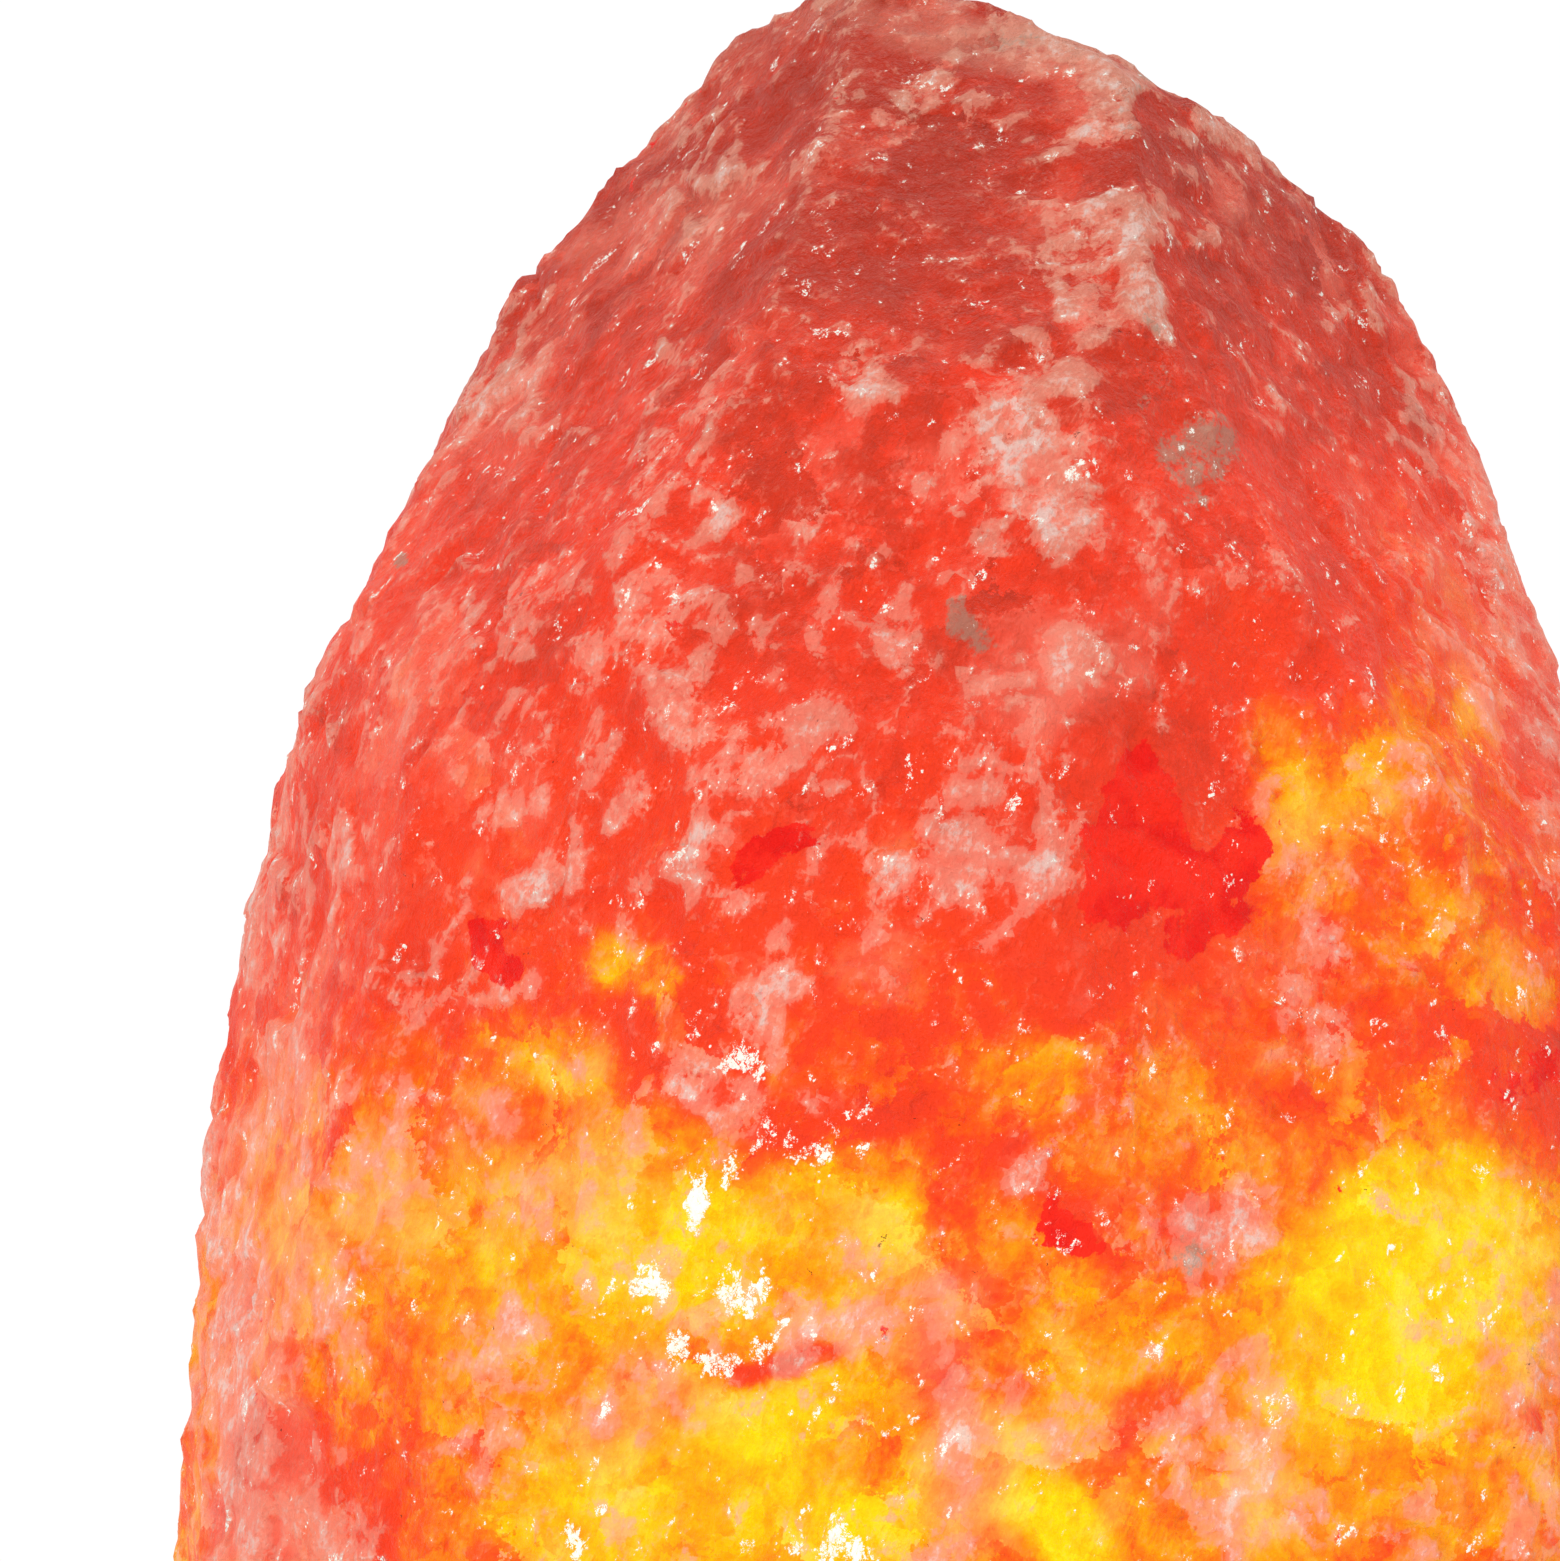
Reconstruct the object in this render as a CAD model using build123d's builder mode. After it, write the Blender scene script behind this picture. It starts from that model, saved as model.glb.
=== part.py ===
from build123d import *

import os
from math import cos, exp, pi, radians, sin

# Salt crystal lamp: a hewn lump of rock salt on a turned wooden base, lit from inside by a small
# screw-cap bulb. The bulb's holder is gripped in the bore by a bowed spring clip and pulls out
# downwards. Millimetres, +Z up. The origin is on the table, on the axis of the base and the bore.
# The front of the lamp looks along -Y, and the cord groove leaves at the back, along +Y.

# ---------------------------------------------------------------- driving sizes: base and feet
FOOT_STANDOFF = 3.5  # the base rides this high over the table
FOOT_RECESS = 1.5  # how far each foot is let into the base
FOOT_RADIUS = 7.0
FOOT_TAPER = 0.7  # the foot is this much smaller in radius at the table
FOOT_CIRCLE_RADIUS = 49.0  # radius of the circle that the feet stand on
FOOT_COUNT = 4
FOOT_SCREW_RADIUS = 1.5
FOOT_SCREW_HEAD = 2.9
FOOT_SCREW_HEAD_HEIGHT = 1.6
FOOT_SCREW_LENGTH = 13.0
FOOT_SCREW_SUNK = 1.2  # the head sits this far up inside the foot

BASE_HEIGHT = 28.0
BASE_RADIUS = 64.0  # at the lower bead
BASE_TOP_BEAD_RADIUS = 61.0
BASE_TOP_BEAD = 8.0  # height of the upper bead
BASE_LOWER_BEAD = 11.0  # height of the lower bead
BASE_WAIST_RADIUS = 57.0  # at the bottom of the cove
BASE_STEP = 1.5  # the small square steps beside the cove
BASE_SEAT_RADIUS = 58.5  # flat top that carries the crystal
GROOVE_WIDTH = 8.0  # for the cord, along the underside
GROOVE_DEPTH = 8.0
GROOVE_OVERRUN = 1.0  # the cutter runs out past the edge

# ---------------------------------------------------------------- driving sizes: crystal
CRYSTAL_HEIGHT = 190.0
CRYSTAL_WIDTH = 151.0  # along X, at its widest
CRYSTAL_DEPTH = 137.0  # along Y
LAMP_BORE_RADIUS = 22.0  # through the base and up into the crystal
LAMP_BORE_DEPTH = 92.0  # above the crystal's cut face
LAMP_BORE_ROUNDING = 13.0  # the cutter leaves a rounded end

# The lump's outline, as shares of its height and of half its width or depth. Each row is one level:
# its height over the cut face, and how far the stone reaches from the bore's axis to the left (-X),
# right (+X), front (-Y) and back (+Y). The last is a small chipped flat, left of the axis.
LEVELS = [
    (0.00, 0.86, 0.87, 0.86, 0.87),
    (0.06, 0.94, 0.94, 0.92, 0.94),
    (0.17, 1.00, 0.98, 0.97, 1.02),
    (0.29, 0.99, 0.98, 0.98, 1.01),
    (0.42, 0.95, 0.94, 0.95, 0.98),
    (0.55, 0.87, 0.88, 0.90, 0.91),
    (0.65, 0.80, 0.79, 0.83, 0.83),
    (0.74, 0.71, 0.69, 0.73, 0.75),
    (0.82, 0.60, 0.64, 0.64, 0.65),
    (0.88, 0.51, 0.54, 0.54, 0.55),
    (0.94, 0.46, 0.33, 0.43, 0.44),
    (0.98, 0.33, 0.14, 0.29, 0.28),
    (1.00, 0.20, -0.02, 0.13, 0.12),
]
LEVEL_POINTS = 12  # round each level
LEVEL_SQUARENESS = 2.2  # 2 is an ellipse, more is squarer

# Swellings (+) and hollows (-): azimuth from +X, height, spread in degrees, spread in height, size,
# with the heights as shares of the lump's height and the size as a share of half its width
LUMPS = [
    (262, 0.62, 34, 0.14, 0.035),
    (228, 0.33, 38, 0.13, -0.032),
    (305, 0.21, 36, 0.13, 0.029),
    (60, 0.37, 40, 0.16, -0.034),
    (112, 0.63, 36, 0.15, 0.040),
    (150, 0.29, 38, 0.14, -0.035),
]

# Faces struck flat by the chisel: azimuth, height as a share, lean back from upright in degrees, and
# reach from the axis as a share of the widest outline's
HEWN_FACES = [
    (330, 0.67, 30, 0.72),
    (212, 0.75, 38, 0.63),
    (288, 0.35, 5, 0.96),
    (248, 0.16, -10, 0.97),
    (318, 0.14, -13, 0.96),
    (266, 0.83, 46, 0.56),
    (45, 0.59, 24, 0.82),
    (128, 0.44, 14, 0.93),
    (84, 0.80, 42, 0.61),
    (96, 0.15, -8, 0.98),
    (28, 0.21, -4, 0.99),
    (196, 0.41, 7, 0.95),
    (0, 0.96, 65, 0.23),
]

# Strokes of the chisel all over the lump, in rows round it: each takes off a thin cap
STROKE_SPACING = 24.0  # along and between the rows
STROKE_DEPTH = 1.0  # below the rounded lump, on the mean
STROKE_SPREAD = 0.5  # how much deeper or shallower a stroke may be, as a share of the depth
STROKE_SWAY = 4.0  # and how far it may lean away from the surface there, in degrees
STROKE_LOW, STROKE_HIGH = 0.07, 0.93  # heights of the lowest and highest rows, as shares
STROKE_TURNS = (5.1, 2.4, 3.9)  # steps in phase from stroke to stroke, for its depth and two leans
STROKES_LEAST = 3  # in a row
SLOPE_TURN, SLOPE_RISE = 8.0, 0.05  # the surface's slope is taken over these, in degrees and as a share

# ---------------------------------------------------------------- driving sizes: base fixings
FIXING_COUNT = 3
FIXING_CIRCLE_RADIUS = 42.0
FIXING_START_ANGLE = 30.0
BASE_SCREW_RADIUS = 2.0
BASE_SCREW_HEAD = 4.0
BASE_SCREW_HEAD_HEIGHT = 2.4
BASE_SCREW_HOLD = 22.0  # how far it goes into the plug
BASE_SCREW_SUNK = 12.0  # how deep the head sits in the underside
BASE_SCREW_ROOM = 0.5  # round the head
PLUG_RADIUS = 4.0
PLUG_LENGTH = 26.0
PLUG_POINT = 3.0  # its closed, pointed end

# ---------------------------------------------------------------- driving sizes: bulb (E14 cap)
THREAD_PITCH = 2.82
THREAD_DEPTH = 0.8
THREAD_CREST = 0.3  # width of the crest, as a share of the pitch
THREAD_TURNS = 5
CAP_CORE_RADIUS = 6.15  # at the root of the thread
CAP_WALL = 0.3
CAP_THREAD_START = 4.2  # above the bulb's contact
CAP_SKIRT_RADIUS = 7.3
CAP_SKIRT_LENGTH = 3.0
CONTACT_RADIUS = 4.0
CONTACT_HEIGHT = 1.0
INSULATOR_HEIGHT = 2.8
INSULATOR_SEAT = 1.0  # how far it goes up inside the cap
GLASS_RADIUS = 13.0
GLASS_LENGTH = 38.5  # from the cap's rim to the crown
GLASS_SWELL = 14.0  # from the cap's rim to the full width
GLASS_WALL = 0.7
GLASS_NECK_RADIUS = 6.5
GLASS_NECK_INSERT = 2.4  # how far the neck goes into the cap
STEM_RADIUS = 2.4
STEM_LENGTH = 14.0
STEM_FLARE = 1.0  # thickness of the flare where the neck is closed
LEAD_RADIUS = 0.3
LEAD_PITCH = 1.2  # from the axis, inside the stem
LEAD_SPREAD = 6.5  # from the axis, at the filament
LEAD_RISE = 9.0  # above the stem
LEAD_BEND = 0.8
FILAMENT_RADIUS = 0.45  # over the coil
SUPPORT_RADIUS = 0.2
SUPPORT_START = 0.5  # from the axis, where they stand in the stem
SUPPORT_ANGLES = (45, 90, 135)  # round the half circle of the filament

# ---------------------------------------------------------------- driving sizes: lamp holder
BULB_TIP_RISE = 12.5  # of the bulb's contact over the crystal's cut face
THREAD_CLEARANCE = 0.22
REST_GAP = 0.3  # between the bulb and the spring contact that it rests on
FIT_GAP = 0.05  # between pieces that are assembled into each other
SHELL_WALL = 0.35
SHELL_FLANGE = 0.4
SHELL_FLANGE_RADIUS = 6.0  # inside edge of the shell's foot
SHELL_TAB_WIDTH = 4.4  # the tab that carries the outer contact
SHELL_TAB_END = 1.8  # its end, this far from the axis
SHELL_MOUTH = 2.5  # plain mouth above the thread
SHELL_FLARE = 0.6  # height of the step out to the mouth, as on the bulb's cap
CORE_RADIUS = 10.4
CORE_THICKNESS = 5.5
CORE_CHAMFER = 0.4
CORE_TO_TIP = 2.0  # from the core's top to the bulb's contact
HOLDER_RADIUS = 13.0
HOLDER_MOUTH_RADIUS = 10.9
HOLDER_MOUTH_RISE = 1.5  # the mouth stands over the shell
MOUTH_ROUNDING = 0.8
HOLDER_SHOULDER = 2.6  # above the core's top, where the taper starts
SKIRT_ROOM = 1.0  # round the bulb's cap skirt
HOLDER_SPLIT = 6.5  # the cap's spigot goes this far into the body
CUP_HEIGHT = 11.0  # of the holder cap's outside
CUP_FLOOR = 2.7
SPIGOT_WALL = 1.6
CUP_EDGE = 2.0  # rounding of the cup's lower edge
NIPPLE_RADIUS = 5.0
NIPPLE_BORE = 3.9
NIPPLE_BELOW = 5.4  # how far it stands below the cup
NIPPLE_ABOVE = 5.3  # how far it stands above the cup's underside
NUT_FLATS = 14.0
NUT_HEIGHT = 2.4
NUT_CHAMFER = 0.5
WASHER_RADIUS = 8.5
WASHER_THICKNESS = 0.6
BUSH_BORE = 3.3  # cord hole
BUSH_FLANGE = 0.9
BUSH_FLANGE_RADIUS = 5.6
BUSH_LENGTH = 7.0  # inside the tube
CONTACT_STRIP = 0.4
CONTACT_WIDTH = 4.0
CONTACT_FOOT_START = 5.5  # outer end of the strip's flat foot, from the axis
CONTACT_FOOT_END = 1.5
CONTACT_PAD = 1.6  # half the length of the raised pad under the bulb
RIVET_OFFSET = 3.9  # from the axis
RIVET_RADIUS = 1.0
RIVET_HEAD = 1.8
RIVET_HEAD_HEIGHT = 0.6
RIVET_TAIL = 1.6  # how far it goes into the terminal
TERMINAL_SIZE = 5.0
TERMINAL_HEIGHT = 4.2
TERMINAL_OFFSET = 5.0  # from the axis
TERMINAL_SCREW_OFFSET = 5.8  # from the axis
TERMINAL_SCREW_RADIUS = 1.2
TERMINAL_SCREW_HEAD = 1.9
TERMINAL_SCREW_HEAD_HEIGHT = 1.2
TERMINAL_SCREW_DEPTH = 2.2
WIRE_HOLE_RADIUS = 0.9  # across each terminal, for the cord's cores

# ---------------------------------------------------------------- driving sizes: spring clip
CLIP_WIDTH = 12.0
CLIP_THICKNESS = 0.8
CLIP_CLEARANCE = 0.2  # from the bore's wall to the edges of the bowed arms
CLIP_FOOT = 15.6  # half the width of the flat foot
CLIP_BOW_HEIGHT = 17.0  # above the foot, where the arms bear on the bore
CLIP_TIP_HEIGHT = 32.0
CLIP_TIP = 16.2  # distance of the tips from the axis

# ---------------------------------------------------------------- places worked out from the sizes
BASE_BOTTOM = FOOT_STANDOFF
BASE_TOP = BASE_BOTTOM + BASE_HEIGHT
TIP_Z = BASE_TOP + BULB_TIP_RISE
THREAD_LENGTH = THREAD_PITCH * THREAD_TURNS
THREAD_Z = TIP_Z + CAP_THREAD_START
CAP_THREAD_TOP = THREAD_Z + THREAD_LENGTH
CAP_TOP = CAP_THREAD_TOP + CAP_SKIRT_LENGTH
CORE_TOP = TIP_Z - CORE_TO_TIP
CORE_BOTTOM = CORE_TOP - CORE_THICKNESS
CUP_TOP = CORE_BOTTOM - HOLDER_SPLIT
CUP_BOTTOM = CUP_TOP - CUP_HEIGHT
SHELL_TOP = CAP_THREAD_TOP + SHELL_MOUTH
HOLDER_TOP = SHELL_TOP + HOLDER_MOUTH_RISE
CRYSTAL_BORE_TOP = BASE_TOP + LAMP_BORE_DEPTH
FIXING_ANGLES = [FIXING_START_ANGLE + 360 / FIXING_COUNT * i for i in range(FIXING_COUNT)]

MADE = []  # every finished piece, in the order it is made


def finish(piece, name):
    """Label a finished piece and keep it for export."""
    piece.part.label = name
    MADE.append(piece.part)


def ring_thread(root_radius, start_z):
    """Outline points, going up, of a round-crested screw thread drawn as closed rings."""
    crest = root_radius + THREAD_DEPTH
    flat = THREAD_CREST * THREAD_PITCH
    points = []
    for turn in range(THREAD_TURNS):
        middle = start_z + (turn + 0.5) * THREAD_PITCH
        points += [
            (root_radius, middle - THREAD_PITCH / 2),
            (crest, middle - flat / 2),
            (crest, middle + flat / 2),
        ]
    return points


# ================================================================ the stone
HALF_WIDTH = CRYSTAL_WIDTH / 2
HALF_DEPTH = CRYSTAL_DEPTH / 2


def level_point(height, left, right, front, back, azimuth):
    """Point of one level of the lump in one direction, from its four reaches and the lumps near it."""
    angle = radians(azimuth)
    middle_x, half_x = (right - left) / 2 * HALF_WIDTH, (right + left) / 2 * HALF_WIDTH
    middle_y, half_y = (back - front) / 2 * HALF_DEPTH, (back + front) / 2 * HALF_DEPTH
    power = 2 / LEVEL_SQUARENESS
    x_share = abs(cos(angle)) ** power * (1 if cos(angle) >= 0 else -1)
    y_share = abs(sin(angle)) ** power * (1 if sin(angle) >= 0 else -1)
    swell = 0.0
    for at_azimuth, at_height, wide, tall, size in LUMPS:
        turn = (azimuth - at_azimuth + 180) % 360 - 180
        near = exp(-((turn / wide) ** 2) - ((height - at_height) / tall) ** 2)
        swell += size * HALF_WIDTH * near
    return (
        middle_x + half_x * x_share + swell * cos(angle),
        middle_y + half_y * y_share + swell * sin(angle),
    )


def level_outline(level):
    """Points round one level of the lump."""
    return [level_point(*level, 360 * i / LEVEL_POINTS) for i in range(LEVEL_POINTS)]


def surface_point(azimuth, height):
    """Point on the rounded lump, at a height that may lie between two levels."""
    height = min(max(height, 0.0), 1.0)
    above = next(i for i, level in enumerate(LEVELS) if i > 0 and level[0] >= height)
    low, high = LEVELS[above - 1], LEVELS[above]
    share = (height - low[0]) / (high[0] - low[0])
    level = [a + (b - a) * share for a, b in zip(low, high)]
    return Vector(*level_point(*level, azimuth), BASE_TOP + height * CRYSTAL_HEIGHT)


def stroke_plane(azimuth, height, number):
    """The plane of one stroke, a little below the lump's surface and a little askew."""
    along = surface_point(azimuth + SLOPE_TURN, height) - surface_point(azimuth - SLOPE_TURN, height)
    up = surface_point(azimuth, height + SLOPE_RISE) - surface_point(azimuth, height - SLOPE_RISE)
    deeper, aside, back = (sin(step * number) for step in STROKE_TURNS)
    sway = radians(STROKE_SWAY)
    out = along.cross(up).normalized()
    out = (out + along.normalized() * aside * sway + up.normalized() * back * sway).normalized()
    depth = STROKE_DEPTH * (1 + STROKE_SPREAD * deeper)
    return Plane(origin=surface_point(azimuth, height) - out * depth, z_dir=out)


def stroke_planes():
    """The planes of all strokes, row by row from the bottom."""
    rows = round((STROKE_HIGH - STROKE_LOW) * CRYSTAL_HEIGHT / STROKE_SPACING)
    planes = []
    for row in range(rows + 1):
        height = STROKE_LOW + (STROKE_HIGH - STROKE_LOW) * row / rows
        girth = 2 * pi * (surface_point(0, height).X + surface_point(90, height).Y) / 2
        strokes = max(round(girth / STROKE_SPACING), STROKES_LEAST)
        for i in range(strokes):
            azimuth = 360 / strokes * (i + row % 2 / 2)
            planes.append(stroke_plane(azimuth, height, len(planes)))
    return planes


def hewn_plane(azimuth, height, lean, reach):
    """The plane of one struck face, with its normal pointing out of the stone."""
    turn, tilt = radians(azimuth), radians(lean)
    out_x, out_y = cos(turn), sin(turn)
    distance = reach / ((out_x / HALF_WIDTH) ** 2 + (out_y / HALF_DEPTH) ** 2) ** 0.5
    return Plane(
        origin=(distance * out_x, distance * out_y, BASE_TOP + height * CRYSTAL_HEIGHT),
        z_dir=(out_x * cos(tilt), out_y * cos(tilt), sin(tilt)),
    )


with BuildPart() as crystal:
    for level in LEVELS:
        with BuildSketch(Plane.XY.offset(BASE_TOP + level[0] * CRYSTAL_HEIGHT)):
            with BuildLine():
                Spline(*level_outline(level), periodic=True)
            make_face()
    loft()
    for face in HEWN_FACES:
        split(bisect_by=hewn_plane(*face), keep=Keep.BOTTOM)
    for plane in stroke_planes():
        split(bisect_by=plane, keep=Keep.BOTTOM)
    # the bore for the bulb, drilled up from the cut face with a rounded end
    with BuildSketch(Plane.XZ) as bore_profile:
        with BuildLine():
            Polyline(
                (0, BASE_TOP),
                (LAMP_BORE_RADIUS, BASE_TOP),
                (LAMP_BORE_RADIUS, CRYSTAL_BORE_TOP - LAMP_BORE_ROUNDING),
            )
            RadiusArc(
                (LAMP_BORE_RADIUS, CRYSTAL_BORE_TOP - LAMP_BORE_ROUNDING),
                (LAMP_BORE_RADIUS - LAMP_BORE_ROUNDING, CRYSTAL_BORE_TOP),
                -LAMP_BORE_ROUNDING,
            )
            Polyline(
                (LAMP_BORE_RADIUS - LAMP_BORE_ROUNDING, CRYSTAL_BORE_TOP),
                (0, CRYSTAL_BORE_TOP),
                (0, BASE_TOP),
            )
        make_face()
    revolve(axis=Axis.Z, mode=Mode.SUBTRACT)
    # blind holes for the plugs that take the base's screws
    with Locations(Plane.XY.offset(BASE_TOP)):
        with PolarLocations(FIXING_CIRCLE_RADIUS, FIXING_COUNT, FIXING_START_ANGLE):
            Cylinder(
                PLUG_RADIUS,
                PLUG_LENGTH + FIT_GAP,
                align=(Align.CENTER, Align.CENTER, Align.MIN),
                mode=Mode.SUBTRACT,
            )
finish(crystal, "salt_crystal")


# ================================================================ the turned base
with BuildPart() as base:
    with BuildSketch(Plane.XZ):
        with BuildLine():
            lower_top = BASE_BOTTOM + BASE_LOWER_BEAD
            upper_bottom = BASE_TOP - BASE_TOP_BEAD
            lower_edge = (BASE_RADIUS - BASE_STEP, BASE_BOTTOM)
            lower_shelf = (BASE_RADIUS - BASE_STEP, lower_top)
            cove_foot = (BASE_WAIST_RADIUS + BASE_STEP, lower_top + BASE_STEP)
            cove_head = (BASE_WAIST_RADIUS + BASE_STEP, upper_bottom - BASE_STEP)
            cove_waist = (BASE_WAIST_RADIUS, (lower_top + upper_bottom) / 2)
            upper_shelf = (BASE_TOP_BEAD_RADIUS - BASE_STEP, upper_bottom)
            seat_edge = (BASE_SEAT_RADIUS, BASE_TOP)
            upper_crest = (BASE_TOP_BEAD_RADIUS, BASE_TOP - BASE_TOP_BEAD / 2)
            Line((LAMP_BORE_RADIUS, BASE_BOTTOM), lower_edge)
            ThreePointArc(
                lower_edge, (BASE_RADIUS, BASE_BOTTOM + BASE_LOWER_BEAD / 2), lower_shelf
            )
            Polyline(
                lower_shelf, (lower_shelf[0], cove_foot[1]), cove_foot
            )
            ThreePointArc(cove_foot, cove_waist, cove_head)
            Polyline(
                cove_head, (upper_shelf[0], cove_head[1]), upper_shelf
            )
            ThreePointArc(upper_shelf, upper_crest, seat_edge)
            Polyline(
                seat_edge,
                (LAMP_BORE_RADIUS, BASE_TOP),
                (LAMP_BORE_RADIUS, BASE_BOTTOM),
            )
        make_face()
    revolve(axis=Axis.Z)
    # groove for the cord, from the bore to the back edge
    with BuildSketch(Plane.XY.offset(BASE_BOTTOM)):
        Rectangle(
            GROOVE_WIDTH, BASE_RADIUS + GROOVE_OVERRUN, align=(Align.CENTER, Align.MIN)
        )
    extrude(amount=GROOVE_DEPTH, mode=Mode.SUBTRACT)
    # sockets for the feet, and pilot holes for their screws
    with Locations(Plane.XY.offset(BASE_BOTTOM)):
        with PolarLocations(FOOT_CIRCLE_RADIUS, FOOT_COUNT, 180 / FOOT_COUNT):
            Cylinder(
                FOOT_RADIUS + FIT_GAP,
                FOOT_RECESS,
                align=(Align.CENTER, Align.CENTER, Align.MIN),
                mode=Mode.SUBTRACT,
            )
            Cylinder(
                FOOT_SCREW_RADIUS + FIT_GAP,
                FOOT_SCREW_LENGTH - FOOT_STANDOFF + FOOT_SCREW_SUNK + FIT_GAP,
                align=(Align.CENTER, Align.CENTER, Align.MIN),
                mode=Mode.SUBTRACT,
            )
        # counterbored holes for the screws that hold the crystal
        with PolarLocations(FIXING_CIRCLE_RADIUS, FIXING_COUNT, FIXING_START_ANGLE):
            Cylinder(
                BASE_SCREW_HEAD + BASE_SCREW_ROOM,
                BASE_SCREW_SUNK,
                align=(Align.CENTER, Align.CENTER, Align.MIN),
                mode=Mode.SUBTRACT,
            )
            Cylinder(
                BASE_SCREW_RADIUS + FIT_GAP,
                BASE_HEIGHT,
                align=(Align.CENTER, Align.CENTER, Align.MIN),
                mode=Mode.SUBTRACT,
            )
finish(base, "wood_base")


# ================================================================ feet and fixings
with BuildPart() as feet:
    with PolarLocations(FOOT_CIRCLE_RADIUS, FOOT_COUNT, 180 / FOOT_COUNT):
        Cone(
            FOOT_RADIUS - FOOT_TAPER,
            FOOT_RADIUS,
            FOOT_STANDOFF + FOOT_RECESS,
            align=(Align.CENTER, Align.CENTER, Align.MIN),
        )
        # the screw's head is sunk in the sole
        Cylinder(
            FOOT_SCREW_HEAD + FIT_GAP,
            FOOT_SCREW_SUNK + FOOT_SCREW_HEAD_HEIGHT,
            align=(Align.CENTER, Align.CENTER, Align.MIN),
            mode=Mode.SUBTRACT,
        )
        Cylinder(
            FOOT_SCREW_RADIUS + FIT_GAP,
            FOOT_STANDOFF + FOOT_RECESS,
            align=(Align.CENTER, Align.CENTER, Align.MIN),
            mode=Mode.SUBTRACT,
        )
finish(feet, "rubber_feet")

with BuildPart(Plane.XY.offset(FOOT_SCREW_SUNK)) as foot_screws:
    with PolarLocations(FOOT_CIRCLE_RADIUS, FOOT_COUNT, 180 / FOOT_COUNT):
        Cylinder(
            FOOT_SCREW_HEAD,
            FOOT_SCREW_HEAD_HEIGHT,
            align=(Align.CENTER, Align.CENTER, Align.MIN),
        )
        Cylinder(
            FOOT_SCREW_RADIUS,
            FOOT_SCREW_LENGTH,
            align=(Align.CENTER, Align.CENTER, Align.MIN),
        )
finish(foot_screws, "foot_screws")

with BuildPart(Plane.XY.offset(BASE_BOTTOM + BASE_SCREW_SUNK)) as base_screws:
    with PolarLocations(FIXING_CIRCLE_RADIUS, FIXING_COUNT, FIXING_START_ANGLE):
        Cylinder(
            BASE_SCREW_HEAD,
            BASE_SCREW_HEAD_HEIGHT,
            align=(Align.CENTER, Align.CENTER, Align.MAX),
        )
        Cylinder(
            BASE_SCREW_RADIUS,
            BASE_HEIGHT - BASE_SCREW_SUNK + BASE_SCREW_HOLD,
            align=(Align.CENTER, Align.CENTER, Align.MIN),
        )
finish(base_screws, "base_screws")

with BuildPart(Plane.XY.offset(BASE_TOP)) as wall_plugs:
    with PolarLocations(FIXING_CIRCLE_RADIUS, FIXING_COUNT, FIXING_START_ANGLE):
        Cylinder(
            PLUG_RADIUS - FIT_GAP,
            PLUG_LENGTH - PLUG_POINT,
            align=(Align.CENTER, Align.CENTER, Align.MIN),
        )
    with Locations((0, 0, PLUG_LENGTH - PLUG_POINT)):
        with PolarLocations(FIXING_CIRCLE_RADIUS, FIXING_COUNT, FIXING_START_ANGLE):
            Cone(
                PLUG_RADIUS - FIT_GAP,
                PLUG_RADIUS / 2,
                PLUG_POINT,
                align=(Align.CENTER, Align.CENTER, Align.MIN),
            )
    with PolarLocations(FIXING_CIRCLE_RADIUS, FIXING_COUNT, FIXING_START_ANGLE):
        Cylinder(
            BASE_SCREW_RADIUS + FIT_GAP,
            PLUG_LENGTH - PLUG_POINT,
            align=(Align.CENTER, Align.CENTER, Align.MIN),
            mode=Mode.SUBTRACT,
        )
finish(wall_plugs, "wall_plugs")


# ================================================================ the bulb
def glass_outline(wall):
    """Half outline of the glass, taken in by a wall, from its open neck up over the crown."""
    neck = GLASS_NECK_RADIUS - wall
    side = GLASS_RADIUS - wall
    neck_bottom = CAP_TOP - GLASS_NECK_INSERT
    crown = CAP_TOP + GLASS_LENGTH
    shoulder = crown - GLASS_RADIUS
    Line((0, neck_bottom), (neck, neck_bottom))
    Line((neck, neck_bottom), (neck, CAP_TOP))
    Spline(
        (neck, CAP_TOP),
        (side, CAP_TOP + GLASS_SWELL),
        tangents=[(0, 1), (0, 1)],
        tangent_scalars=[1.3, 1.3],
    )
    Line((side, CAP_TOP + GLASS_SWELL), (side, shoulder))
    CenterArc((0, shoulder), side, 0, 90)
    Line((0, shoulder + side), (0, neck_bottom))


with BuildPart() as glass:
    with BuildSketch(Plane.XZ):
        with BuildLine():
            glass_outline(0)
        make_face()
        with BuildLine():
            glass_outline(GLASS_WALL)
        make_face(mode=Mode.SUBTRACT)
    revolve(axis=Axis.Z)
finish(glass, "bulb_glass")

CAP_BOTTOM = TIP_Z + CONTACT_HEIGHT + INSULATOR_HEIGHT - INSULATOR_SEAT
INSULATOR_RADIUS = CAP_CORE_RADIUS - CAP_WALL - FIT_GAP

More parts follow.
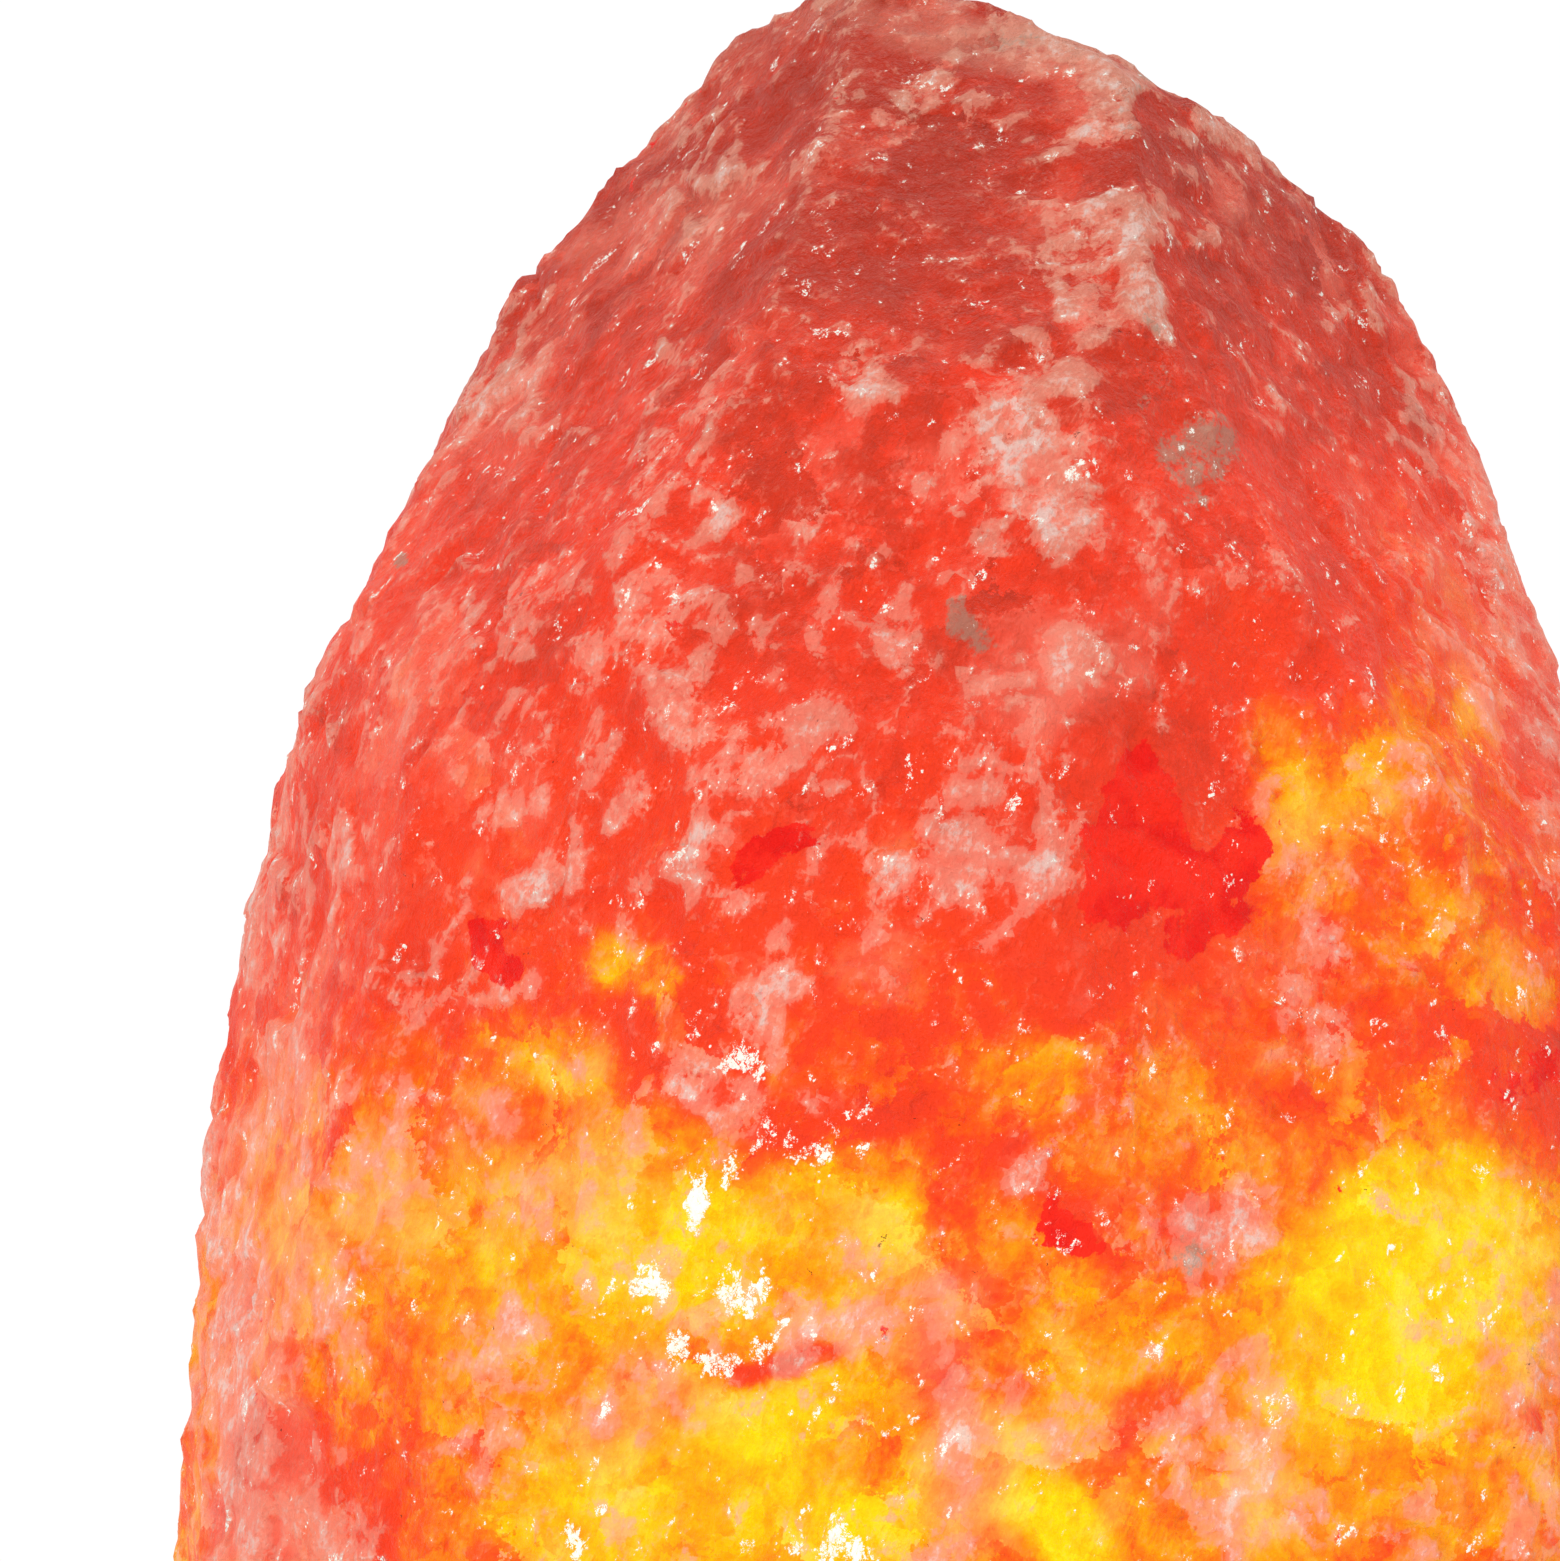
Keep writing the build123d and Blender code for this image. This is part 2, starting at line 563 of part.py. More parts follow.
with BuildPart() as bulb_cap:
    with BuildSketch(Plane.XZ):
        with BuildLine():
            outside = [
                (CAP_CORE_RADIUS, CAP_BOTTOM),
                *ring_thread(CAP_CORE_RADIUS, THREAD_Z),
                (CAP_CORE_RADIUS, CAP_THREAD_TOP),
                (CAP_SKIRT_RADIUS, CAP_THREAD_TOP + SHELL_FLARE),
                (CAP_SKIRT_RADIUS, CAP_TOP),
            ]
            inside = [(radius - CAP_WALL, height) for radius, height in reversed(outside)]
            Polyline(*outside, *inside, close=True)
        make_face()
    revolve(axis=Axis.Z)
finish(bulb_cap, "bulb_cap")

with BuildPart() as insulator:
    with BuildSketch(Plane.XZ):
        with BuildLine():
            bottom = TIP_Z + CONTACT_HEIGHT
            Polyline(
                (0, bottom),
                (CONTACT_RADIUS, bottom),
                (INSULATOR_RADIUS, CAP_BOTTOM),
                (INSULATOR_RADIUS, bottom + INSULATOR_HEIGHT),
                (0, bottom + INSULATOR_HEIGHT),
                close=True,
            )
        make_face()
    revolve(axis=Axis.Z)
    with Locations((-LEAD_PITCH, 0, TIP_Z + CONTACT_HEIGHT)):
        Cylinder(
            LEAD_RADIUS + FIT_GAP,
            INSULATOR_HEIGHT,
            align=(Align.CENTER, Align.CENTER, Align.MIN),
            mode=Mode.SUBTRACT,
        )
finish(insulator, "cap_insulator")

with BuildPart(Plane.XY.offset(TIP_Z)) as contact:
    Cylinder(
        CONTACT_RADIUS, CONTACT_HEIGHT, align=(Align.CENTER, Align.CENTER, Align.MIN)
    )
    fillet(contact.edges().group_by(Axis.Z)[0], CONTACT_HEIGHT * 0.6)
finish(contact, "cap_contact")

STEM_BOTTOM = CAP_TOP - GLASS_NECK_INSERT
STEM_TOP = STEM_BOTTOM + STEM_LENGTH
FILAMENT_Z = STEM_TOP + LEAD_RISE

with BuildPart() as stem:
    with BuildSketch(Plane.XZ):
        with BuildLine():
            flare = GLASS_NECK_RADIUS - GLASS_WALL - FIT_GAP
            Polyline((STEM_RADIUS, STEM_TOP), (0, STEM_TOP), (0, STEM_BOTTOM), (flare, STEM_BOTTOM))
            Line((flare, STEM_BOTTOM), (flare, STEM_BOTTOM + STEM_FLARE))
            Spline(
                (flare, STEM_BOTTOM + STEM_FLARE),
                (STEM_RADIUS, STEM_BOTTOM + STEM_LENGTH / 2),
                tangents=[(-1, 0.2), (0, 1)],
            )
            Line((STEM_RADIUS, STEM_BOTTOM + STEM_LENGTH / 2), (STEM_RADIUS, STEM_TOP))
        make_face()
    revolve(axis=Axis.Z)
    with Locations(Plane.XY.offset(STEM_BOTTOM)):
        with Locations((-LEAD_PITCH, 0), (LEAD_PITCH, 0)):
            Cylinder(
                LEAD_RADIUS + FIT_GAP,
                STEM_LENGTH,
                align=(Align.CENTER, Align.CENTER, Align.MIN),
                mode=Mode.SUBTRACT,
            )
finish(stem, "bulb_stem")


def wire(points, bend, radius):
    """A round wire along straight runs joined by bends of one radius."""
    with BuildLine() as route:
        FilletPolyline(*points, radius=bend)
    with BuildSketch(Plane(origin=route.line @ 0, z_dir=route.line % 0)) as section:
        Circle(radius)
    sweep(sections=section.sketch, path=route.line)


with BuildPart() as leads:
    # one lead goes down to the bulb's contact, the other is turned out to the cap's wall
    wire(
        [
            (-LEAD_PITCH, 0, TIP_Z + CONTACT_HEIGHT),
            (-LEAD_PITCH, 0, STEM_TOP + LEAD_BEND),
            (-LEAD_SPREAD, 0, FILAMENT_Z),
        ],
        LEAD_BEND,
        LEAD_RADIUS,
    )
    wire(
        [
            (CAP_CORE_RADIUS - CAP_WALL - LEAD_BEND, 0, STEM_BOTTOM - 2 * LEAD_BEND),
            (LEAD_PITCH, 0, STEM_BOTTOM - LEAD_BEND),
            (LEAD_PITCH, 0, STEM_TOP + LEAD_BEND),
            (LEAD_SPREAD, 0, FILAMENT_Z),
        ],
        LEAD_BEND,
        LEAD_RADIUS,
    )
finish(leads, "lead_wires")

with BuildPart() as filament:
    with BuildLine() as coil_path:
        coil_start = LEAD_SPREAD - 2 * LEAD_RADIUS - FILAMENT_RADIUS
        ThreePointArc(
            (-coil_start, 0, FILAMENT_Z),
            (0, coil_start, FILAMENT_Z),
            (coil_start, 0, FILAMENT_Z),
        )
    with BuildSketch(Plane(origin=coil_path.line @ 0, z_dir=coil_path.line % 0)):
        Circle(FILAMENT_RADIUS)
    sweep()
finish(filament, "filament")

with BuildPart() as supports:
    for angle in SUPPORT_ANGLES:
        with BuildLine() as rod:
            Line(
                (
                    SUPPORT_START * cos(radians(angle)),
                    SUPPORT_START * sin(radians(angle)),
                    STEM_TOP + SUPPORT_RADIUS,
                ),
                (
                    coil_start * cos(radians(angle)),
                    coil_start * sin(radians(angle)),
                    FILAMENT_Z - FILAMENT_RADIUS - SUPPORT_RADIUS - FIT_GAP,
                ),
            )
        with BuildSketch(Plane(origin=rod.line @ 0, z_dir=rod.line % 0)):
            Circle(SUPPORT_RADIUS)
        sweep()
finish(supports, "support_wires")


# ================================================================ the lamp holder
SHELL_ROOT_RADIUS = CAP_CORE_RADIUS + THREAD_CLEARANCE
SHELL_MOUTH_RADIUS = CAP_SKIRT_RADIUS + THREAD_CLEARANCE
SPIGOT_INSIDE = CORE_RADIUS - SPIGOT_WALL

with BuildPart() as holder_body:
    with BuildSketch(Plane.XZ):
        with BuildLine():
            Polyline(
                (HOLDER_RADIUS, CUP_TOP),
                (HOLDER_RADIUS, CORE_TOP + HOLDER_SHOULDER),
                (HOLDER_MOUTH_RADIUS, HOLDER_TOP),
                (CAP_SKIRT_RADIUS + SKIRT_ROOM, HOLDER_TOP),
                (CAP_SKIRT_RADIUS + SKIRT_ROOM, CORE_TOP + FIT_GAP),
                (CORE_RADIUS + FIT_GAP, CORE_TOP + FIT_GAP),
                (CORE_RADIUS + FIT_GAP, CUP_TOP),
                close=True,
            )
        make_face()
    revolve(axis=Axis.Z)
    fillet(holder_body.edges().group_by(Axis.Z)[-1], MOUTH_ROUNDING)
finish(holder_body, "holder_body")

with BuildPart() as holder_cap:
    with BuildSketch(Plane.XZ) as cup_profile:
        with BuildLine():
            Polyline(
                (NIPPLE_RADIUS + FIT_GAP, CUP_BOTTOM),
                (HOLDER_RADIUS, CUP_BOTTOM),
                (HOLDER_RADIUS, CUP_TOP),
                (CORE_RADIUS, CUP_TOP),
                (CORE_RADIUS, CORE_BOTTOM),
                (SPIGOT_INSIDE, CORE_BOTTOM),
                (SPIGOT_INSIDE, CUP_BOTTOM + CUP_FLOOR),
                (NIPPLE_RADIUS + FIT_GAP, CUP_BOTTOM + CUP_FLOOR),
                close=True,
            )
        make_face()
        lower_rim = cup_profile.vertices().group_by(Axis.Y)[0].sort_by(Axis.X)[-1]
        fillet(lower_rim, CUP_EDGE)
    revolve(axis=Axis.Z)
finish(holder_cap, "holder_cap")

with BuildPart(Plane.XY.offset(CORE_BOTTOM + FIT_GAP)) as core:
    Cylinder(
        CORE_RADIUS, CORE_THICKNESS - FIT_GAP, align=(Align.CENTER, Align.CENTER, Align.MIN)
    )
    with Locations((-RIVET_OFFSET, 0), (RIVET_OFFSET, 0)):
        Hole(RIVET_RADIUS + FIT_GAP)
    chamfer(core.edges().group_by(Axis.Z)[-1].sort_by(SortBy.RADIUS)[-1], CORE_CHAMFER)
finish(core, "holder_core")

with BuildPart() as shell:
    with BuildSketch(Plane.XZ):
        with BuildLine():
            inside = [
                (SHELL_ROOT_RADIUS, CORE_TOP + SHELL_FLANGE),
                *ring_thread(SHELL_ROOT_RADIUS, THREAD_Z),
                (SHELL_ROOT_RADIUS, CAP_THREAD_TOP),
                (SHELL_MOUTH_RADIUS, CAP_THREAD_TOP + SHELL_FLARE),
                (SHELL_MOUTH_RADIUS, SHELL_TOP),
            ]
            outside = [(radius + SHELL_WALL, height) for radius, height in reversed(inside)]
            foot = [
                (SHELL_ROOT_RADIUS + SHELL_WALL, CORE_TOP),
                (SHELL_FLANGE_RADIUS, CORE_TOP),
                (SHELL_FLANGE_RADIUS, CORE_TOP + SHELL_FLANGE),
            ]
            Polyline(*inside, *outside[:-1], *foot, close=True)
        make_face()
    revolve(axis=Axis.Z)
    # the tab under the flange's far side carries the outer contact's rivet
    with BuildSketch(Plane.XY.offset(CORE_TOP)):
        with Locations((SHELL_TAB_END, 0)):
            Rectangle(
                SHELL_FLANGE_RADIUS + SHELL_WALL - SHELL_TAB_END,
                SHELL_TAB_WIDTH,
                align=(Align.MIN, Align.CENTER),
            )
        with Locations((RIVET_OFFSET, 0)):
            Circle(RIVET_RADIUS + FIT_GAP, mode=Mode.SUBTRACT)
    extrude(amount=SHELL_FLANGE)
finish(shell, "thread_shell")

with BuildPart() as centre_contact:
    pad_top = TIP_Z - REST_GAP
    with BuildSketch(Plane.XZ):
        with BuildLine():
            Polyline(
                (-CONTACT_FOOT_START, CORE_TOP),
                (-CONTACT_FOOT_END, CORE_TOP),
                (-CONTACT_FOOT_END + CONTACT_STRIP, pad_top - CONTACT_STRIP),
                (CONTACT_PAD, pad_top - CONTACT_STRIP),
                (CONTACT_PAD, pad_top),
                (-CONTACT_FOOT_END, pad_top),
                (-CONTACT_FOOT_END - CONTACT_STRIP, CORE_TOP + CONTACT_STRIP),
                (-CONTACT_FOOT_START, CORE_TOP + CONTACT_STRIP),
                close=True,
            )
        make_face()
    extrude(amount=CONTACT_WIDTH / 2, both=True)
    with Locations(Plane.XY.offset(CORE_TOP)):
        with Locations((-RIVET_OFFSET, 0)):
            Cylinder(
                RIVET_RADIUS + FIT_GAP,
                CONTACT_STRIP,
                align=(Align.CENTER, Align.CENTER, Align.MIN),
                mode=Mode.SUBTRACT,
            )
finish(centre_contact, "centre_contact")

with BuildPart(Plane.XY.offset(CORE_TOP + CONTACT_STRIP)) as rivets:
    with Locations((-RIVET_OFFSET, 0), (RIVET_OFFSET, 0)):
        Cylinder(RIVET_HEAD, RIVET_HEAD_HEIGHT, align=(Align.CENTER, Align.CENTER, Align.MIN))
        Cylinder(
            RIVET_RADIUS,
            CONTACT_STRIP + CORE_THICKNESS + RIVET_TAIL,
            align=(Align.CENTER, Align.CENTER, Align.MAX),
        )
finish(rivets, "contact_rivets")

with BuildPart(Plane.XY.offset(CORE_BOTTOM)) as terminals:
    with Locations((-TERMINAL_OFFSET, 0), (TERMINAL_OFFSET, 0)):
        Box(
            TERMINAL_SIZE,
            TERMINAL_SIZE,
            TERMINAL_HEIGHT,
            align=(Align.CENTER, Align.CENTER, Align.MAX),
        )
        # the hole across, for the cord's core
        with Locations((0, 0, -TERMINAL_HEIGHT + TERMINAL_SCREW_DEPTH)):
            Cylinder(
                WIRE_HOLE_RADIUS, TERMINAL_SIZE, rotation=(90, 0, 0), mode=Mode.SUBTRACT
            )
    with Locations((-RIVET_OFFSET, 0), (RIVET_OFFSET, 0)):
        Cylinder(
            RIVET_RADIUS + FIT_GAP,
            RIVET_TAIL + FIT_GAP,
            align=(Align.CENTER, Align.CENTER, Align.MAX),
            mode=Mode.SUBTRACT,
        )
    with Locations(
        (-TERMINAL_SCREW_OFFSET, 0, -TERMINAL_HEIGHT), (TERMINAL_SCREW_OFFSET, 0, -TERMINAL_HEIGHT)
    ):
        Cylinder(
            TERMINAL_SCREW_RADIUS + FIT_GAP,
            TERMINAL_SCREW_DEPTH,
            align=(Align.CENTER, Align.CENTER, Align.MIN),
            mode=Mode.SUBTRACT,
        )
finish(terminals, "terminal_blocks")

with BuildPart(Plane.XY.offset(CORE_BOTTOM - TERMINAL_HEIGHT)) as terminal_screws:
    with Locations((-TERMINAL_SCREW_OFFSET, 0), (TERMINAL_SCREW_OFFSET, 0)):
        Cylinder(
            TERMINAL_SCREW_HEAD,
            TERMINAL_SCREW_HEAD_HEIGHT,
            align=(Align.CENTER, Align.CENTER, Align.MAX),
        )
        Cylinder(
            TERMINAL_SCREW_RADIUS,
            TERMINAL_SCREW_DEPTH - FIT_GAP,
            align=(Align.CENTER, Align.CENTER, Align.MIN),
        )
finish(terminal_screws, "terminal_screws")

# ================================================================ tube, nuts, bush and spring clip
NIPPLE_BOTTOM = CUP_BOTTOM - NIPPLE_BELOW
CLIP_Z = CUP_BOTTOM - CLIP_THICKNESS
WASHER_Z = CLIP_Z - WASHER_THICKNESS
NUT_LOWER_Z = WASHER_Z - NUT_HEIGHT
NUT_UPPER_Z = CUP_BOTTOM + CUP_FLOOR

with BuildPart(Plane.XY.offset(NIPPLE_BOTTOM)) as nipple:
    Cylinder(
        NIPPLE_RADIUS,
        NIPPLE_BELOW + NIPPLE_ABOVE,
        align=(Align.CENTER, Align.CENTER, Align.MIN),
    )
    Hole(NIPPLE_BORE)
    ends = nipple.edges().filter_by(GeomType.CIRCLE).group_by(SortBy.RADIUS)[-1]
    chamfer(ends, NUT_CHAMFER)
finish(nipple, "threaded_tube")

with BuildPart() as nuts:
    for nut_z in (NUT_LOWER_Z, NUT_UPPER_Z):
        with BuildSketch(Plane.XY.offset(nut_z)):
            RegularPolygon(NUT_FLATS / 2, 6, major_radius=False)
            Circle(NIPPLE_RADIUS + FIT_GAP, mode=Mode.SUBTRACT)
        extrude(amount=NUT_HEIGHT)
finish(nuts, "tube_nuts")

with BuildPart() as washer:
    with BuildSketch(Plane.XY.offset(WASHER_Z)):
        Circle(WASHER_RADIUS)
        Circle(NIPPLE_RADIUS + FIT_GAP, mode=Mode.SUBTRACT)
    extrude(amount=WASHER_THICKNESS)
finish(washer, "tube_washer")

with BuildPart() as bush:
    with BuildSketch(Plane.XZ):
        with BuildLine():
            Polyline(
                (BUSH_BORE, NIPPLE_BOTTOM - BUSH_FLANGE),
                (BUSH_FLANGE_RADIUS, NIPPLE_BOTTOM - BUSH_FLANGE),
                (BUSH_FLANGE_RADIUS, NIPPLE_BOTTOM),
                (NIPPLE_BORE - FIT_GAP, NIPPLE_BOTTOM),
                (NIPPLE_BORE - FIT_GAP, NIPPLE_BOTTOM + BUSH_LENGTH),
                (BUSH_BORE, NIPPLE_BOTTOM + BUSH_LENGTH),
                close=True,
            )
        make_face()
    revolve(axis=Axis.Z)
finish(bush, "cord_bush")

# the strip's edges lie further out than its middle, so the bow stops short of the bore by both
CLIP_BOW = ((LAMP_BORE_RADIUS - CLIP_CLEARANCE) ** 2 - (CLIP_WIDTH / 2) ** 2) ** 0.5


def clip_side(side, inset):
    """One arm's curve from the foot up to the tip, on the side +1 or -1, inset by a thickness."""
    return ThreePointArc(
        (side * (CLIP_FOOT - inset), CLIP_Z + inset),
        (side * (CLIP_BOW - inset), CLIP_Z + CLIP_BOW_HEIGHT),
        (side * (CLIP_TIP - inset), CLIP_Z + CLIP_TIP_HEIGHT),
    )


with BuildPart() as clip:
    with BuildSketch(Plane.XZ):
        with BuildLine():
            outer_right = clip_side(1, 0)
            inner_right = clip_side(1, CLIP_THICKNESS)
            outer_left = clip_side(-1, 0)
            inner_left = clip_side(-1, CLIP_THICKNESS)
            Line(outer_left @ 0, outer_right @ 0)
            Line(inner_left @ 0, inner_right @ 0)
            Line(outer_right @ 1, inner_right @ 1)
            Line(outer_left @ 1, inner_left @ 1)
        make_face()
    extrude(amount=CLIP_WIDTH / 2, both=True)
    with Locations(Plane.XY.offset(CLIP_Z)):
        Cylinder(
            NIPPLE_RADIUS + FIT_GAP,
            CLIP_THICKNESS,
            align=(Align.CENTER, Align.CENTER, Align.MIN),
            mode=Mode.SUBTRACT,
        )
finish(clip, "spring_clip")

# ---------------------------------------------------------------- one file for each sub-part
os.makedirs("parts", exist_ok=True)
for piece in MADE:
    export_step(piece, f"parts/{piece.label}.step")
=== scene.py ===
"""Looks of a salt crystal lamp: a hewn, lit lump of rock salt on a turned wooden base.

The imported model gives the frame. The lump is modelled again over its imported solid, with its chisel
scars, flakes and grain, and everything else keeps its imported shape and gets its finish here.
Lengths are in millimetres up to the point where they reach a mesh, which is in metres.
"""
from __future__ import annotations

import logging
import math
from dataclasses import dataclass, field
from enum import Enum
from functools import cache, partial
from typing import Callable

import bpy
import numpy as np
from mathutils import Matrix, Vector

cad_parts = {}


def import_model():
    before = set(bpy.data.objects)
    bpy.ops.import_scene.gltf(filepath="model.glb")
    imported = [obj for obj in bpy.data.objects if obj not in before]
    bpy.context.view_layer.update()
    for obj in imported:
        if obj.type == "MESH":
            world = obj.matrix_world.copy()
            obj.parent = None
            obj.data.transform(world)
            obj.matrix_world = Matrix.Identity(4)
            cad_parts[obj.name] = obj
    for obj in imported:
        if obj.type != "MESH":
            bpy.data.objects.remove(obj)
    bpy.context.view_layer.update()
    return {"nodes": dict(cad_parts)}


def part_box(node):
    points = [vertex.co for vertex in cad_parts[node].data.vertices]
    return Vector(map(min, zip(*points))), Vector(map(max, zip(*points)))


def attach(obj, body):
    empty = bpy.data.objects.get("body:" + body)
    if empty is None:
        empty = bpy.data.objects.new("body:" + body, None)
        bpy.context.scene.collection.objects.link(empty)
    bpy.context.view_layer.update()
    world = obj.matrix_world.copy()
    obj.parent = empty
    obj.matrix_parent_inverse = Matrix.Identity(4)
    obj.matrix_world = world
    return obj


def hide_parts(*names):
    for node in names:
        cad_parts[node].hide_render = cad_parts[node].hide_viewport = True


LOG = logging.getLogger("salt_lamp")
NodeAdder = Callable[..., bpy.types.Node]  # add_node, bound to one tree
MM = 0.001  # metres in a millimetre
SEED = 11
WAVE_REPEAT = 0.3142  # a wave texture of scale 1 repeats after this length
NOISE_REACH = 1.6  # brings the usual values of soft_noise out to -1 and 1
PATCH_EDGE = (0.45, 1.35)  # a patch fades out between these shares of its size


# ------------------------------------------------------------------ small tools
def linear(hex_colour: str, alpha: float = 1.0) -> tuple[float, float, float, float]:
    """Turn an sRGB hex colour into linear values.

    Args:
        hex_colour: The colour as "#rrggbb".
        alpha: The fourth value.

    Returns:
        Red, green, blue and alpha, linear.
    """
    parts = [int(hex_colour[i:i + 2], 16) / 255 for i in (1, 3, 5)]
    red, green, blue = (c / 12.92 if c <= 0.04045 else ((c + 0.055) / 1.055) ** 2.4 for c in parts)
    return red, green, blue, alpha


def add_node(tree: bpy.types.NodeTree, kind: str, inputs: dict | list | tuple = (),
             **settings: object) -> bpy.types.Node:
    """Add a node to a tree, with its settings, values and links.

    Args:
        tree: The node tree.
        kind: The node's type without its ShaderNode prefix.
        inputs: What goes into its sockets, by place in a list or by name or number in a dict. A node or
            a socket is linked, anything else is set as the value, and None is left alone.
        settings: The node's own properties.

    Returns:
        The new node.
    """
    node = tree.nodes.new("ShaderNode" + kind)
    for name, value in settings.items():
        setattr(node, name, value)
    for key, value in inputs.items() if isinstance(inputs, dict) else enumerate(inputs):
        if isinstance(value, bpy.types.Node):
            value = next(socket for socket in value.outputs if socket.enabled)
        if isinstance(value, bpy.types.NodeSocket):
            tree.links.new(value, node.inputs[key])
        elif value is not None:
            node.inputs[key].default_value = value
    return node


def smoothstep(low: float, high: float, values: np.ndarray) -> np.ndarray:
    """Rise smoothly from 0 at low to 1 at high."""
    share = np.clip((values - low) / (high - low), 0.0, 1.0)
    return share * share * (3.0 - 2.0 * share)


def cell_random(cells: np.ndarray, seed: int) -> np.ndarray:
    """Give every whole-number cell of space its own repeatable number.

    Args:
        cells: Cell numbers, n by 3.
        seed: Another seed gives other numbers.

    Returns:
        One number from 0 to 1 for each cell.
    """
    x, y, z = (cells[:, i].astype(np.int64).astype(np.uint32) for i in range(3))
    mixed = (x * np.uint32(73856093)) ^ (y * np.uint32(19349663)) ^ (z * np.uint32(83492791))
    mixed ^= np.uint32((seed * 2654435761) % 2**32)
    for shift, factor in ((15, 2246822519), (13, 3266489917)):
        mixed = (mixed ^ (mixed >> np.uint32(shift))) * np.uint32(factor)
    return (mixed ^ (mixed >> np.uint32(16))) / 2.0**32


def soft_noise(points: np.ndarray, grain: float, seed: int, octaves: int = 1) -> np.ndarray:
    """Smooth noise in space.

    Args:
        points: Places in millimetres, n by 3.
        grain: Size of the largest swellings in millimetres.
        seed: Another seed gives another pattern.
        octaves: How many times finer and weaker copies are added.

    Returns:
        Values of about -1 to 1.
    """
    total, strength, reach = np.zeros(len(points)), 1.0, 0.0
    for octave in range(octaves):
        place = points / grain * 2**octave
        low = np.floor(place)
        share = place - low
        share = share * share * share * (share * (share * 6 - 15) + 10)
        value = np.zeros(len(points))
        for corner in np.ndindex(2, 2, 2):
            weight = np.prod(np.where(np.array(corner) == 1, share, 1 - share), axis=1)
            value += weight * cell_random(low + corner, seed + octave)
        total += strength * (value * 2 - 1)
        reach += strength
        strength *= 0.5
    return total / reach * NOISE_REACH


def chips(points: np.ndarray, size: float, seed: int) -> tuple[np.ndarray, np.ndarray]:
    """Break space into irregular chips.

    Args:
        points: Places in millimetres, n by 3.
        size: Mean width of a chip in millimetres.
        seed: Another seed gives other chips.

    Returns:
        Two arrays in millimetres: the lean of the chip's own flat face at each point, as a height, and
        the distance to the nearest edge between two chips.
    """
    place = points / size
    home = np.floor(place)
    nearest = np.full(len(points), 9.0)
    second = np.full(len(points), 9.0)
    lean = np.zeros(len(points))
    for step in np.ndindex(3, 3, 3):
        cell = home + np.array(step) - 1
        centre = cell + np.stack([cell_random(cell, seed + i) for i in range(3)], axis=1)
        away = place - centre
        distance = np.linalg.norm(away, axis=1)
        tilt = np.stack([cell_random(cell, seed + i) - 0.5 for i in range(3, 6)], axis=1)
        height = (away * tilt).sum(axis=1) * 2
        closer = distance < nearest
        second = np.where(closer, nearest, np.minimum(second, distance))
        lean = np.where(closer, height, lean)
        nearest = np.where(closer, distance, nearest)
    return lean * size, (second - nearest) * size / 2


def new_piece(name: str, mesh: bpy.types.Mesh, body: str, finish: bpy.types.Material) -> bpy.types.Object:
    """Put a mesh in the scene as a piece that moves with a body.

    Args:
        name: The piece's name.
        mesh: Its mesh, in metres, in the frame's own place.
        body: The body that it moves with.
        finish: Its material.

    Returns:
        The new object.
    """
    piece = bpy.data.objects.new(name, mesh)
    bpy.context.scene.collection.objects.link(piece)
    mesh.materials.clear()
    mesh.materials.append(finish)
    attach(piece, body)
    LOG.info("%s: %d faces on %s", name, len(mesh.polygons), body)
    return piece


# ------------------------------------------------------------------ what the lump shows
class Layer(Enum):
    """What lies in or on the stone, and the light and shade painted on it."""

    GLOW = "glow"  # painted glow: more or less of the bulb's light than the stone round it passes
    BLUSH = "blush"  # thin milk deep in the stone, which tints it softly
    MILK = "milk"  # cloudy salt full of tiny bubbles, pale pink to white
    CLAY = "clay"  # grey-brown clay in the salt
    CLEAR = "clear"  # clear deep red salt
    SPARK = "spark"  # where painted glints cluster: freshly broken grain, shown with painted highlights
    FLARE = "flare"  # painted flare: thin clear grain where the bulb shines through white
    RIDGE = "ridge"  # ridges (+) that the chisel crushed, paler, partly a painted highlight, and hollows (-), partly a painted shade


@dataclass(frozen=True)
class Patch:
    """One patch on the front of the lump, an ellipse as it is seen from straight ahead.

    Args:
        x: Its middle, right of the bore's axis.
        z: Its middle, over the table.
        wide: Half its width.
        tall: Half its height.
        lean: How far its top leans to the right, in degrees.
        amount: How strong it is. A negative glow is darker than the stone round it.
    """

    x: float
    z: float
    wide: float
    tall: float
    lean: float = 0.0
    amount: float = 1.0

    def cover(self, points: np.ndarray) -> np.ndarray:
        """How much of the patch lies at each point, before its edge is roughened.

        Args:
            points: Places in millimetres, n by 3.

        Returns:
            Shares from 0 to 1.
        """
        turn = math.radians(self.lean)
        right, up = points[:, 0] - self.x, points[:, 2] - self.z
        across = (right * math.cos(turn) - up * math.sin(turn)) / self.wide
        along = (right * math.sin(turn) + up * math.cos(turn)) / self.tall
        return 1.0 - smoothstep(*PATCH_EDGE, np.hypot(across, along))
